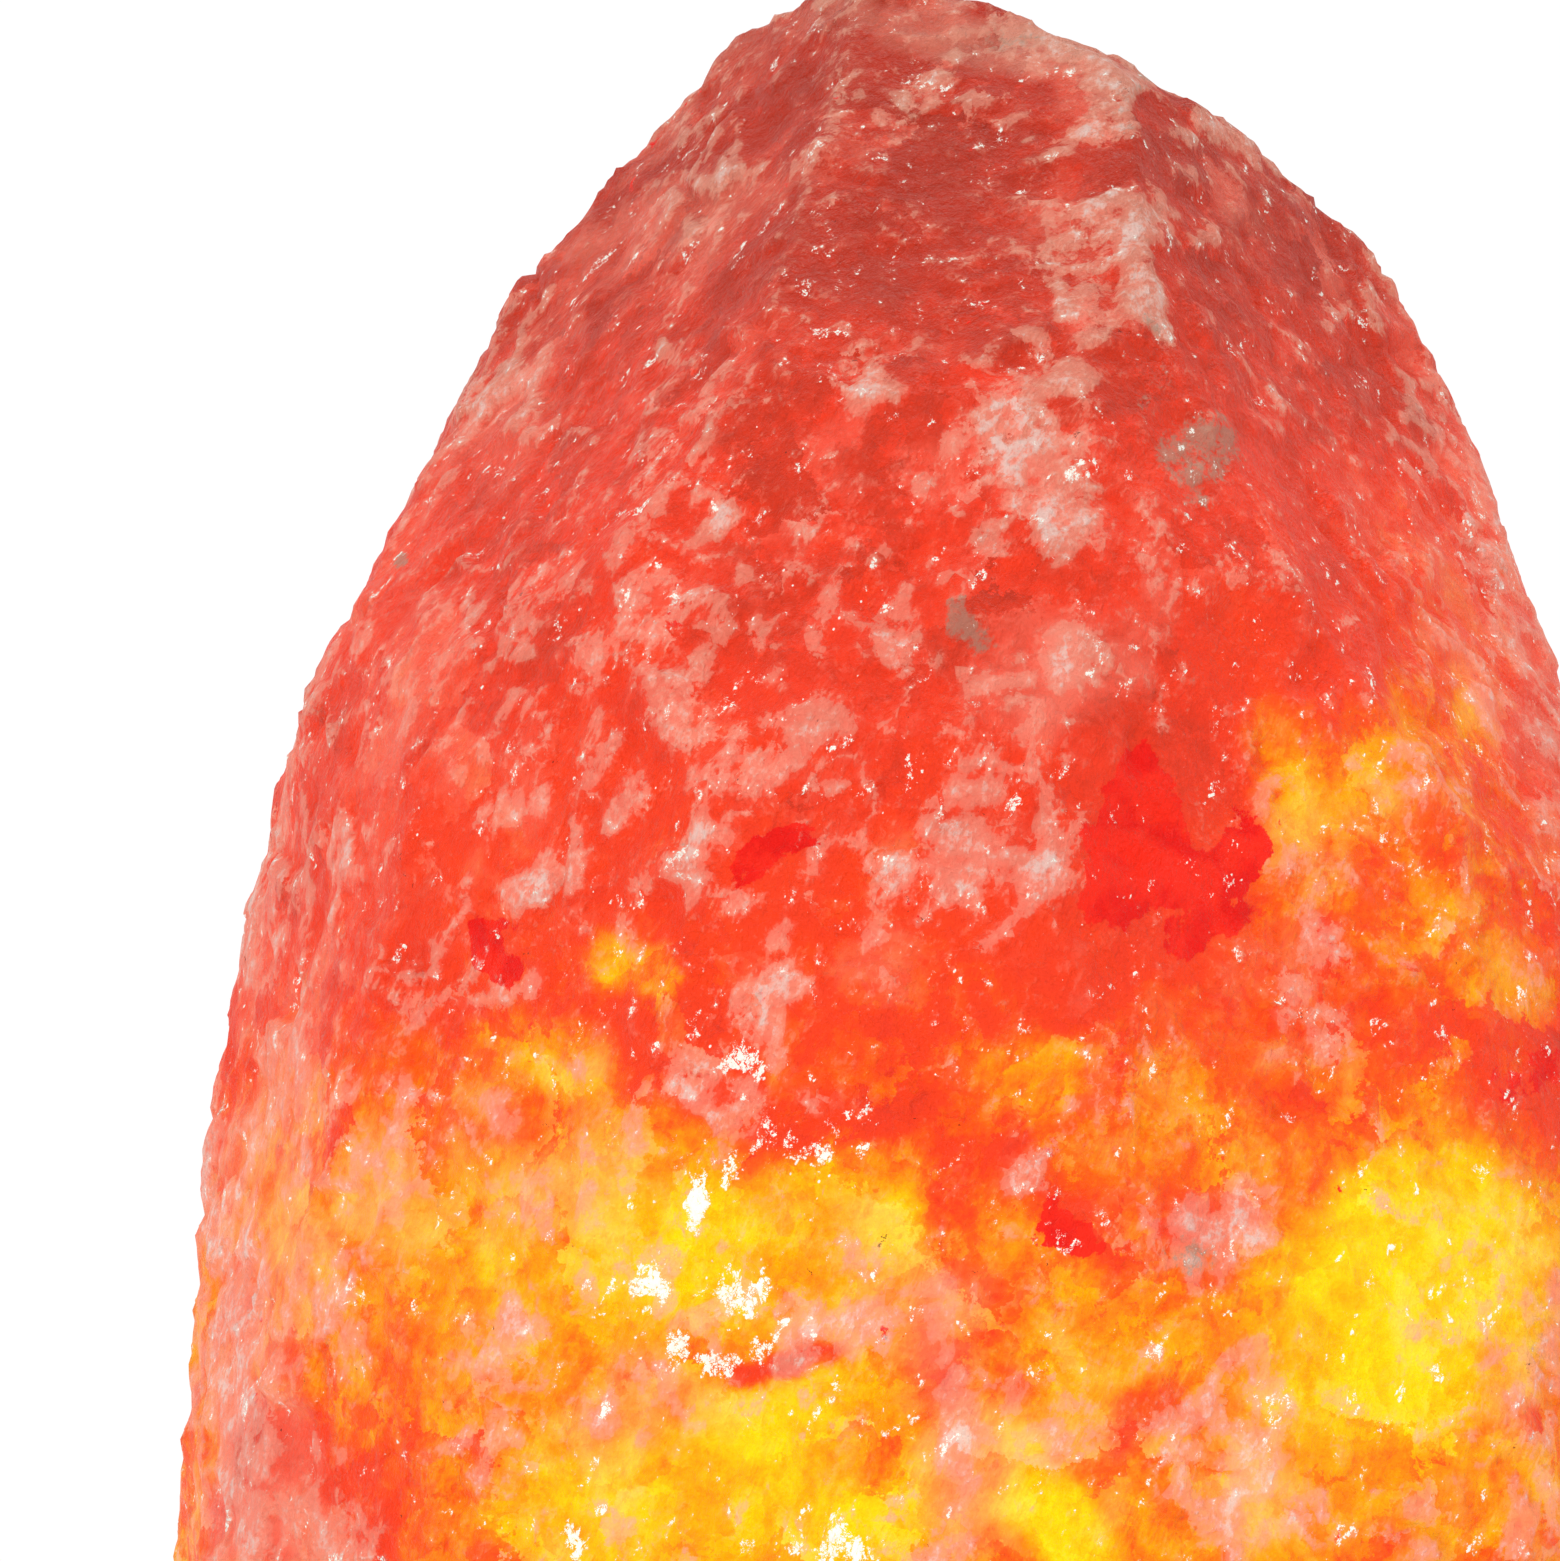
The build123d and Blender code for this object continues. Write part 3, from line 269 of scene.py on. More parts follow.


# given in millimetres: x, z, half the width, half the height, lean in degrees, amount
PATCHES = {
    Layer.GLOW: [
        Patch(37, 150, 11, 8, -20, 0.22),  # amber window, high on the right
        Patch(40, 142, 14, 13, -20, 0.13),
        Patch(50, 136, 11, 12, 0, 0.1),
        Patch(29, 145, 4, 7, 0, 0.12),
        Patch(40, 127, 16, 9, 0, 0.08),
        Patch(40, 101, 13, 17, 0, 0.22),  # the brightest yellow column
        Patch(39, 84, 13, 10, 0, 0.05),
        Patch(-26, 100, 17, 13, 0, 0.07),  # lower left, in front of the bulb
        Patch(-24, 103, 8, 7, 0, 0.1),
        Patch(-18, 84, 13, 8, 0, 0.16),
        Patch(-34, 83, 7, 6, 0, 0.12),
        Patch(8, 80, 10, 3.5, 60, 0.3),  # slanting yellow streak
        Patch(-45, 107, 7, 6, 0, 0.06),
        Patch(-28, 130, 3, 3.5, 0, 0.32),  # small amber windows
        Patch(-36, 122, 6, 4, 0, 0.22),
        Patch(7, 121, 5, 5, 0, 0.17),
        Patch(27, 121, 10, 7, 0, 0.07),
        Patch(-8, 111, 9, 4, 0, 0.12),
        Patch(-5, 106, 5, 3, -40, 0.2),
        Patch(7, 104, 6, 4, 0, 0.08),
        Patch(33, 106, 5, 4, 0, 0.12),
        Patch(27, 86, 4, 7, 0, 0.1),
        Patch(-20, 75, 7, 4, 0, 0.08),
        Patch(5, 73, 5, 4, 0, 0.14),
        Patch(14, 113, 9, 5, 0, -0.05),  # orange rather than yellow
        Patch(-18, 96, 6, 4, 0, -0.14),
        Patch(-30, 91, 8, 6, 0, -0.1),
        Patch(-56, 100, 7, 9, 0, -0.08),
        Patch(-34, 73, 5, 4, 0, -0.12),
        Patch(44, 75, 12, 6, 0, -0.13),
        Patch(51, 90, 6, 8, 0, -0.1),
        Patch(12, 78, 4, 6, 0, -0.12),
        Patch(54, 120, 7, 6, 0, -0.14),  # red salt over the light, right edge
        Patch(-59, 80, 9, 9, 0, -0.3),  # and low on the left
        Patch(-66, 90, 5, 14, 0, -0.15),
        Patch(11, 108, 4, 2.5, 30, -0.2),
        Patch(-15, 95, 6, 1.8, -8, -0.4),
        Patch(-1, 92, 4, 6, 0, -0.1),
        Patch(-14, 118, 14, 4, 0, -0.16),
        Patch(16, 90, 4, 2.5, 0, -0.2),
        Patch(21, 109, 6, 3, 0, -0.12),
        Patch(30, 168, 10, 12, 0, 0.04),
        Patch(48, 165, 9, 16, 0, 0.16),  # smooth orange-red flank
        Patch(-6, 200, 20, 12, 0, -0.06),
    ],
    Layer.BLUSH: [
        Patch(-30, 201, 9, 14, 32, 0.45),  # left shoulder
        Patch(-41, 182, 7, 12, 30, 0.4),
        Patch(31, 201, 11, 8, 42, 0.45),  # right shoulder
        Patch(4, 217, 16, 4.5, 0, 0.85),  # crown
        Patch(-2, 178, 12, 5, 0, 0.3),
        Patch(-50, 150, 10, 22, 8, 0.35),
        Patch(51, 165, 10, 20, -15, 0.5),  # smooth flank on the right
        Patch(8, 158, 11, 7, 0, 0.55),
        Patch(-63, 112, 6, 28, 4, 0.6),  # left edge, down to the foot
        Patch(-64, 82, 7, 13, 0, 0.7),
        Patch(-46, 110, 12, 9, 0, 0.4),
        Patch(-28, 89, 9, 5, -10, 0.55),
        Patch(1, 92, 6, 16, 6, 0.66),
        Patch(12, 86, 8, 5, 0, 0.35),
        Patch(26, 84, 6, 10, 0, 0.35),
        Patch(56, 94, 7, 9, 0, 0.5),
        Patch(30, 122, 7, 10, 0, 0.35),
        Patch(-10, 104, 10, 8, 0, 0.25),
    ],
    Layer.MILK: [
        Patch(-25, 158, 26, 26, 0, 0.22),  # thin haze over the middle
        Patch(52, 165, 14, 26, 0, 0.1),
        Patch(-23, 206, 4, 8, 22, 0.4),  # flake on the left shoulder
        Patch(-40, 187, 6, 5, 35, 0.5),
        Patch(6, 217, 11, 3.5, 0, 0.62),  # cloud under the crown
        Patch(27, 208, 8, 5, -45, 0.42),
        Patch(-3, 210, 2, 4, 0, 0.55),
        Patch(14, 212, 11, 3, -30, 0.55),
        Patch(24, 207, 8, 3.5, -55, 0.5),
        Patch(38, 194, 7, 3, -45, 0.4),
        Patch(15, 198, 4.5, 4.5, 0, 0.85),  # white vein, falling from the crown
        Patch(11, 193, 4, 4, 20, 0.7),
        Patch(19, 191, 3.2, 4, -20, 0.95),
        Patch(8, 187, 5, 4, 20, 0.7),
        Patch(6, 180, 6, 4.5, 0, 0.85),
        Patch(9, 173, 6, 3, 0, 0.75),
        Patch(6, 170, 6, 1.6, 8, 0.65),
        Patch(6.5, 182, 1.2, 3.5, 12, 0.7),
        Patch(22, 199, 5, 5, 0, 0.3),
        Patch(-6.5, 184, 2, 2.6, 20, 0.75),
        Patch(-25, 186, 3, 1.4, 20, 0.6),
        Patch(-24.5, 172, 2.2, 4.5, 12, 0.75),
        Patch(-5.5, 162, 4, 7, -8, 0.6),
        Patch(9, 160, 3.5, 3.5, 0, 0.6),
        Patch(2, 157, 4, 4, 0, 0.5),
        Patch(-21, 160, 3, 4, 20, 0.6),
        Patch(-40.5, 160, 2, 3, 0, 0.55),
        Patch(-24.5, 156, 2.4, 5, 10, 0.75),
        Patch(-13, 148, 5, 4, 0, 0.6),
        Patch(-23, 140, 3.2, 4, -15, 0.8),
        Patch(-41, 143, 5, 5, 0, 0.5),
        Patch(-42, 128, 6, 5, 30, 0.6),
        Patch(2, 142, 9, 6.5, 35, 0.7),  # flake in the middle, with a sharp lower edge
        Patch(-5.5, 138, 2.2, 3, 0, 0.85),
        Patch(-37, 137, 3.2, 6, 38, 0.65),
        Patch(-46, 126, 6, 4, 50, 0.5),
        Patch(33, 130, 2.2, 5, 10, 0.7),
        Patch(31.5, 123, 4, 5, 10, 0.55),
        Patch(18.5, 154, 0.9, 4, -6, 0.65),
        Patch(22, 107, 6, 4.5, -20, 0.9),  # grey-pink cloud over the light
        Patch(-15, 131, 2, 4, 0, 0.6),
        Patch(-19, 125, 6, 3, 20, 0.5),
        Patch(-10.5, 121, 3, 2, 0, 0.55),
        Patch(7, 113, 2.2, 6, 28, 0.45),
        Patch(0.5, 91, 2.4, 14, 6, 0.75),
        Patch(-3, 76, 3, 5, 0, 0.7),
        Patch(-10, 98, 8, 5, 0, 0.5),
        Patch(-24, 101, 10, 6, 0, 0.34),
        Patch(-28, 90, 7, 4, -10, 0.62),
        Patch(7, 89, 5, 5, 0, 0.5),
        Patch(-22, 119, 6, 4, 0, 0.6),
        Patch(-48, 117, 7, 7, 0, 0.45),
        Patch(-62, 119, 5, 8, 0, 0.55),
        Patch(-56, 98, 6, 8, 0, 0.5),
        Patch(-62, 80, 8, 10, 0, 0.6),
        Patch(56, 96, 6, 8, -12, 0.85),  # peach disc at the right edge
        Patch(24, 85, 8, 10, 0, 0.6),
        Patch(25, 93, 4, 4.5, 0, 0.6),
        Patch(50, 79, 9, 6, 0, 0.35),
        Patch(-67, 95, 5, 22, 0, 0.8),  # pink left edge
        Patch(-57, 111, 3.5, 2.5, 20, 0.55),
        Patch(-43, 95, 6, 4, 0, 0.55),
        Patch(-40, 89, 5, 4, 0, 0.5),
        Patch(-38, 109, 5, 4, -20, 0.45),
        Patch(46, 181, 3, 7, -15, 0.6),
        Patch(53, 167, 4, 11, -18, 0.55),
        Patch(60, 150, 5, 9, -15, 0.45),
        Patch(-44, 184, 4, 5, 35, 0.5),
        Patch(-58, 155, 3, 9, 22, 0.45),
        Patch(-62, 136, 4.5, 11, 8, 0.7),
        Patch(0, 176, 7, 2, 0, 0.4),
        Patch(53, 171, 5, 8, -20, 0.65),
    ],
    Layer.CLAY: [
        Patch(24, 177, 4.5, 5, -10, 0.7),
        Patch(1.5, 161, 2.4, 2.2, -20, 0.95),
        Patch(17.5, 189, 1.2, 2.2, 0, 0.8),
        Patch(18, 183, 2.5, 4, 0, 0.5),
        Patch(3, 218, 3, 1.6, 0, 0.6),
        Patch(-49, 179, 1.2, 1.6, 0, 0.9),
        Patch(-52.5, 169, 1.3, 1.6, 0, 0.8),
        Patch(20, 105, 3, 2.5, 0, 0.5),
        Patch(20, 214, 6, 2, -30, 0.45),
    ],
    Layer.CLEAR: [
        Patch(15.5, 147, 2.4, 5, 8, 1.0),  # clear red window in the middle, like a peak
        Patch(15, 142, 5, 5, 0, 1.0),
        Patch(18, 138, 8, 4.5, -12, 1.0),
        Patch(24, 140, 6, 4.5, -25, 0.9),
        Patch(24, 133, 6, 3, -20, 0.8),
        Patch(-38.5, 130, 2, 2.8, 0, 1.0),
        Patch(-18, 139, 3, 1.6, -20, 0.7),
        Patch(11, 107, 3, 1.6, 30, 0.8),
        Patch(55, 121, 6, 4, 0, 0.45),
    ],
    # where the painted glints, white highlights, cluster
    Layer.SPARK: [
        Patch(-25, 155, 22, 24, 0, 0.5),
        Patch(-12, 165, 10, 10, 0, 0.7),
        Patch(-18, 205, 9, 9, 0, 0.35),
        Patch(-20, 183, 5, 4, 0, 0.6),
        Patch(48, 178, 3, 12, -16, 0.9),
        Patch(31, 165, 1.6, 6, -6, 0.8),
        Patch(53, 162, 4, 10, -20, 0.7),
        Patch(-62, 137, 3, 6, 0, 0.9),
        Patch(-48, 170, 4, 10, 20, 0.5),
        Patch(-20, 122, 5, 3, 0, 0.9),
        Patch(-14, 112, 7, 4, 0, 0.9),
        Patch(-22, 100, 9, 8, 0, 0.6),
        Patch(-46, 140, 8, 8, 0, 0.6),
        Patch(-66, 96, 4, 12, 0, 0.5),
    ],
    # painted flares of the bulb's light
    Layer.FLARE: [
        Patch(-25.5, 108, 2.2, 0.9, 90, 0.8),
        Patch(-28, 101, 2.6, 2.4, 0, 0.9),
        Patch(-20, 102, 2.6, 2.2, 0, 0.8),
        Patch(-23, 95.5, 4.5, 1.4, 0, 0.9),
        Patch(-16, 98.5, 3, 1.2, -20, 0.75),
        Patch(-19, 121.5, 2.6, 1.8, 0, 0.8),
        Patch(-14, 113, 4.5, 2, 0, 0.7),
        Patch(-22, 111, 3.5, 2, 0, 0.65),
        Patch(-32, 80, 1.6, 1.2, 0, 0.8),
        Patch(-13, 77, 2.6, 3, 0, 0.7),
        Patch(-17, 118, 3, 1.2, 0, 0.55),
    ],
}


# what stands in for patches on the sides and the back, by chance: how strong a layer gets there, and
# between which values of the noise, from -1 to 1, it comes up
BLOTCHES = {
    Layer.BLUSH: (0.7, -0.1, 0.6),
    Layer.MILK: (0.75, 0.1, 0.7),
    Layer.CLAY: (0.8, 0.72, 0.95),
    Layer.CLEAR: (0.7, 0.7, 0.95),
    Layer.SPARK: (0.8, 0.0, 0.6),
    Layer.FLARE: (0.7, 0.5, 0.8),
}


# ------------------------------------------------------------------ finishes
@dataclass(frozen=True)
class Finish:
    """A finish, named for what the real material is and for how its surface was made."""

    name: str

    def start(self) -> tuple[bpy.types.Material, NodeAdder, bpy.types.Node]:
        """Start the material.

        Returns:
            The material with an empty node tree, what adds a node to it, and the place in millimetres.
        """
        material = bpy.data.materials.new(self.name)
        material.use_nodes = True
        material.node_tree.nodes.clear()
        node = partial(add_node, material.node_tree)
        place = node("VectorMath", [node("TexCoord").outputs["Object"], (1 / MM,) * 3], operation="MULTIPLY")
        return material, node, place

    def build(self) -> bpy.types.Material:
        """Make the material. Each finish has its own way."""
        raise NotImplementedError(self.name)


@dataclass(frozen=True)
class Moulded(Finish):
    """Plastic, rubber, porcelain or glass that took its surface from a mould or a glaze.

    The eye gets: one body colour with slow clouds in it, a gloss that varies a little with handling, and
    the fine grain of the mould. The grain is drawn coarser than it is, so that it shows.
    """

    colour: str
    cloud: str  # the colour in the clouds
    roughness: tuple[float, float]
    ior: float = 1.5
    grain: float = 0.5  # spacing of the mould's grain
    relief: float = 0.02  # its height
    coat: float = 0.0  # glaze

    def build(self) -> bpy.types.Material:
        """Make the material."""
        material, node, place = self.start()
        slow = node("TexNoise", {"Vector": place, "Scale": 1 / 9, "Detail": 4.0, "Roughness": 0.6})
        grain = node("TexNoise", {"Vector": place, "Scale": 1 / self.grain, "Detail": 2.0})
        share = node("MapRange", [slow, 0.35, 0.65, 0.0, 1.0])
        colour = node("Mix", {0: share, 6: linear(self.colour), 7: linear(self.cloud)}, data_type="RGBA")
        shader = node("BsdfPrincipled", {
            "Base Color": colour,
            "Roughness": node("MapRange", [slow, 0.3, 0.7, *self.roughness]),
            "IOR": self.ior,
            "Coat Weight": self.coat,
            "Coat Roughness": 0.05,
            "Normal": node("Bump", {"Height": grain, "Strength": 1.0, "Distance": self.relief * MM}),
        })
        node("OutputMaterial", [shader])
        return material


@dataclass(frozen=True)
class Metal(Finish):
    """Metal that was drawn, pressed, plated or tempered.

    The eye gets: a bright body colour with darker tarnish in clouds, and fine lines along the way that it
    was drawn or rolled. The lines are drawn coarser than they are, so that they show.
    """

    colour: str
    tarnish: str
    roughness: tuple[float, float]
    drawn: tuple[float, float, float] = (1.0, 1.0, 6.0)  # how far the lines are drawn out, along X, Y and Z
    line: float = 0.35  # spacing of the lines
    relief: float = 0.006  # and their depth

    def build(self) -> bpy.types.Material:
        """Make the material."""
        material, node, place = self.start()
        slow = node("TexNoise", {"Vector": place, "Scale": 1 / 5, "Detail": 5.0, "Roughness": 0.62})
        along = node("Mapping", {"Vector": place, "Scale": self.drawn}, vector_type="TEXTURE")
        lines = node("TexNoise", {"Vector": along, "Scale": 1 / self.line, "Detail": 3.0, "Roughness": 0.6})
        share = node("MapRange", [slow, 0.45, 0.75, 0.0, 0.8])
        colour = node("Mix", {0: share, 6: linear(self.colour), 7: linear(self.tarnish)}, data_type="RGBA")
        dull = node("Math", [slow, lines], operation="MULTIPLY")
        shader = node("BsdfPrincipled", {
            "Base Color": colour,
            "Metallic": 1.0,
            "Roughness": node("MapRange", [dull, 0.1, 0.4, *self.roughness]),
            "Normal": node("Bump", {"Height": lines, "Strength": 1.0, "Distance": self.relief * MM}),
        })
        node("OutputMaterial", [shader])
        return material


@dataclass(frozen=True)
class TurnedHardwood(Finish):
    """Dark hardwood, turned on a lathe, sanded and given a satin lacquer.

    The eye gets: brown growth bands that run along the plank and bow round its heart, thin dark pores
    drawn out along them, a faint chatter of the lathe's tool, and the soft shine of the lacquer.
    """

    early: str = "#8a5a35"
    late: str = "#5a3520"
    pore: str = "#2e1a10"
    ring: float = 3.4  # width of a year's growth
    heart: tuple[float, float, float] = (0.0, 26.0, -95.0)  # the tree's heart, beside the plank
    plank: tuple[float, float, float] = (9.0, 1.0, 1.0)  # the grain runs along X
    pore_width: float = 0.3
    roughness: tuple[float, float] = (0.28, 0.46)
    relief: float = 0.05

    def build(self) -> bpy.types.Material:
        """Make the material."""
        material, node, place = self.start()
        along = node("Mapping", {"Vector": place, "Location": self.heart, "Scale": self.plank},
                     vector_type="TEXTURE")
        sway = node("TexNoise", {"Vector": along, "Scale": 1 / 14, "Detail": 3.0}, normalize=False)
        bowed = node("VectorMath", [sway.outputs["Color"], (9.0,) * 3, along], operation="MULTIPLY_ADD")
        rings = node("TexWave", {"Vector": bowed, "Scale": WAVE_REPEAT / self.ring, "Distortion": 1.2,
                                 "Detail": 3.0, "Detail Scale": 0.6},
                     wave_type="RINGS", rings_direction="X", wave_profile="SAW")
        pores = node("TexNoise", {"Vector": along, "Scale": 1 / self.pore_width, "Detail": 3.0,
                                  "Roughness": 0.6})
        pore = node("MapRange", [pores, 0.57, 0.68, 0.0, 0.8])
        fleck = node("TexNoise", {"Vector": along, "Scale": 1 / 1.6, "Detail": 5.0, "Roughness": 0.65})
        band = node("Math", [rings, fleck, 0.12], operation="MULTIPLY_ADD")
        colour = node("Mix", {0: band, 6: linear(self.early), 7: linear(self.late)}, data_type="RGBA")
        colour = node("Mix", {0: pore, 6: colour, 7: linear(self.pore)}, data_type="RGBA")
        tool = node("TexNoise", {
            "Vector": node("Mapping", {"Vector": place, "Scale": (30.0, 30.0, 0.4)}, vector_type="TEXTURE"),
            "Scale": 1.0, "Detail": 2.0,
        })
        low = node("Math", [pore, -1.0, tool], operation="MULTIPLY_ADD")
        shader = node("BsdfPrincipled", {
            "Base Color": colour,
            "Roughness": node("MapRange", [fleck, 0.3, 0.7, *self.roughness]),
            "IOR": 1.5,
            "Coat Weight": 0.35,
            "Coat Roughness": 0.22,
            "Normal": node("Bump", {"Height": low, "Strength": 1.0, "Distance": self.relief * MM}),
        })
        node("OutputMaterial", [shader])
        return material


@dataclass(frozen=True)
class BlownGlass(Finish):
    """Clear soda-lime glass, blown into a mould.

    The eye gets: clear glass with a sharp shine that ripples a little, as blown walls do.
    """

    colour: str = "#f6faf8"
    ripple: float = 7.0
    relief: float = 0.05

    def build(self) -> bpy.types.Material:
        """Make the material."""
        material, node, place = self.start()
        ripple = node("TexNoise", {"Vector": place, "Scale": 1 / self.ripple, "Detail": 1.0})
        shader = node("BsdfPrincipled", {
            "Base Color": linear(self.colour),
            "Roughness": 0.02,
            "IOR": 1.52,
            "Transmission Weight": 1.0,
            "Normal": node("Bump", {"Height": ripple, "Strength": 1.0, "Distance": self.relief * MM}),
        })
        node("OutputMaterial", [shader])
        return material


@dataclass(frozen=True)
class GlowingTungsten(Finish):
    """Tungsten wire, drawn, coiled and glowing.

    The eye gets: an orange-white wire that is a little cooler where the draught of the hot gas reaches it.
    """

    hot: str = "#ffd9a0"
    cool: str = "#ff9a3c"
    power: float = 6.0

    def build(self) -> bpy.types.Material:
        """Make the material."""
        material, node, place = self.start()
        uneven = node("TexNoise", {"Vector": place, "Scale": 1 / 3, "Detail": 2.0})
        glow = node("Mix", {0: uneven, 6: linear(self.cool), 7: linear(self.hot)}, data_type="RGBA")
        shader = node("BsdfPrincipled", {
            "Base Color": linear("#6b6660"),
            "Metallic": 1.0,
            "Roughness": 0.4,
            "Emission Color": glow,
            "Emission Strength": self.power,
        })
        node("OutputMaterial", [shader])
        return material


@dataclass
class Pattern:
    """Named values all over the stone, from which its colours and its relief are weighed.

    Args:
        node: Adds a node to the material.
        values: The values by name.
    """

    node: NodeAdder
    values: dict[str, bpy.types.Node | bpy.types.NodeSocket]

    def weigh(self, start: float = 0.0, **factors: float) -> bpy.types.Node:
        """Add up values, each times its own factor.

        Args:
            start: What the sum starts from.
            factors: The factor of each value, by the value's name.

        Returns:
            The node that gives the sum.
        """
        total = start
        for name, factor in factors.items():
            total = self.node("Math", [self.values[name], factor, total], operation="MULTIPLY_ADD")
        return total

    def keep(self, **more: bpy.types.Node) -> None:
        """Keep more values under their names."""
        self.values.update(more)


@dataclass(frozen=True)
class RockSalt(Finish):
    """Pink rock salt, hewn with a chisel and lit from inside.

    The eye gets: deep red where the light is weak, orange and yellow where it is strong, both painted as a
    glow, milky pink veils with ragged edges over both, grey-brown clay, and painted glints on broken grain.
    """

    ior: float = 1.54  # rock salt
    gloss: float = 0.14  # specular level: the hewn face is dusty
    roughness: tuple[float, float] = (0.22, 0.5)
    relief: float = 0.5  # height of the broken grain
    sheen: float = 0.2  # light that grazes the dust and the thin edges
    sheen_roughness: float = 0.22
    sheen_tint: str = "#ffe2d8"
    surface_share: float = 0.72  # of the colour, for the light that falls on it
    inner_light: tuple[float, float] = (0.34, 0.56)  # and for the bulb's light from inside, painted as emission, where the glow is weak and strong
    streak_lean: float = 24.0  # the grain's streaks lean to the right, in degrees
    streak: tuple[float, float, float] = (0.9, 0.9, 1.3)  # drawn out along them
    hair: tuple[float, float, float] = (0.4, 0.4, 3.2)  # fine lines, drawn coarser than they are
    crack_spacing: float = 1.2
    speck_spacing: float = 4.4
    thick_clear: str = "#f01810"  # clear deep red salt
    thin_clear: str = "#ff2a16"
    chalk: str = "#e6cfc6"  # the thickest milk
    clay: str = "#a8826e"
    glint: str = "#fff0e6"
    # painted highlight: the white of the glints
    flare: str = "#fffcf0"
    # painted light: white where the bulb shines through thin grain
    speck: str = "#5a1c14"
    # colours of the stone with its painted glow, from the dimmest to the brightest, at these shares of the
    # glow
    fire: tuple[tuple[float, str], ...] = (
        (0.0, "#b4301c"),
        (0.12, "#c6341f"),
        (0.21, "#de381e"),
        (0.3, "#f63c20"),
        (0.44, "#ff421a"),
        (0.56, "#ff5e12"),
        (0.66, "#ff840c"),
        (0.78, "#ffa400"),
        (0.9, "#ffc000"),
        (1.03, "#ffd800"),
        (1.2, "#ffea28"),
    )
    # and of the milky salt
    veil: tuple[tuple[float, str], ...] = (
        (0.0, "#da9a82"),
        (0.2, "#e89078"),
        (0.38, "#f88e78"),
        (0.6, "#fc8e72"),
        (0.8, "#fd9c78"),
        (1.0, "#feb478"),
    )

    def ramp(self, node: NodeAdder, heat: bpy.types.Node,
             stops: tuple[tuple[float, str], ...]) -> bpy.types.Node:
        """Colours along the glow.

        Args:
            node: Adds a node to the material.
            heat: The node that gives the glow.
            stops: Pairs of glow and colour.

        Returns:
            The node that gives the colour.
        """
        reach = stops[-1][0]
        share = node("Math", [heat, 1 / reach], operation="MULTIPLY")
        ramp = node("ValToRGB", [share])
        elements = ramp.color_ramp.elements
        elements.remove(elements[-1])
        for i, (at, colour) in enumerate(stops):
            element = elements[0] if i == 0 else elements.new(at / reach)
            element.position = at / reach
            element.color = linear(colour)
        return ramp

    def pattern(self, node: NodeAdder, place: bpy.types.Node) -> Pattern:
        """Lay out what is painted on the mesh, noise, and cells from flakes down to flecks.

        Args:
            node: Adds a node to the material.
            place: The place in millimetres.

        Returns:
            The values by name. Of a cell they are its own three numbers, named for colours, its slope, which
            is how far a point lies towards one edge, and its reach, which is how far from the middle.
        """
        names = [layer.value for layer in Layer]
        values = {name: node("Attribute", attribute_name=name).outputs["Fac"] for name in names}

        # places drifting a little, ragged for the edges, and drawn out along the grain
        drift = node("TexNoise", {"Vector": place, "Scale": 1 / 12, "Detail": 1.0}, normalize=False)
        bent = node("VectorMath", [drift.outputs["Color"], (3.0,) * 3, place], operation="MULTIPLY_ADD")
        jitter = node("TexNoise", {"Vector": place, "Scale": 1 / 3, "Detail": 6.0, "Roughness": 0.66},
                      normalize=False)
        ragged = node("VectorMath", [jitter.outputs["Color"], (1.5,) * 3, bent], operation="MULTIPLY_ADD")
        lean = (0.0, math.radians(self.streak_lean), 0.0)
        streaky, hairy = (node("Mapping", {"Vector": place, "Rotation": lean, "Scale": scale},
                               vector_type="TEXTURE") for scale in (self.streak, self.hair))

        # noise, all of it about zero, from clouds of a centimetre down to grains that just show
        for name, where, size, detail, roughness in (
            ("haze", bent, 15.0, 9.0, 0.62),
            ("cloud", place, 6.0, 6.0, 0.64),
            ("depth", bent, 4.5, 4.0, 0.55),
            ("wisp", streaky, 2.2, 6.0, 0.7),
            ("crumb", streaky, 0.6, 3.0, 0.6),
            ("hairs", hairy, 1.0, 2.0, 0.5),
        ):
            values[name] = node("TexNoise", {"Vector": where, "Scale": 1 / size, "Detail": detail,
                                             "Roughness": roughness}, normalize=False)
        here = node("MapRange", [values["depth"], 0.1, 0.35, 0.0, 1.0])
        values["hairs"] = node("Math", [values["hairs"], here], operation="MULTIPLY")

        # each cell has its own shade, and a flake is paler towards one edge
        for name, where, size in (
            ("flake", ragged, 10.0), ("block", ragged, 4.0), ("grain", streaky, 1.7), ("fleck", streaky, 0.7),
        ):
            cell = node("TexVoronoi", {"Vector": where, "Scale": 1 / size})
            shades = node("SeparateColor", [cell.outputs["Color"]])
            toward = node("VectorMath", [where, cell.outputs["Position"]], operation="SUBTRACT")
            tilt = node("VectorMath", [cell.outputs["Color"], (-0.5,) * 3], operation="ADD")
            slope = node("VectorMath", [toward, tilt], operation="DOT_PRODUCT").outputs["Value"]
            values |= {f"{name}_{shade.lower()}": shades.outputs[shade] for shade in ("Red", "Green", "Blue")}
            values[name + "_slope"] = node("Math", [slope, 1 / size], operation="MULTIPLY")
            values[name + "_reach"] = cell.outputs["Distance"]

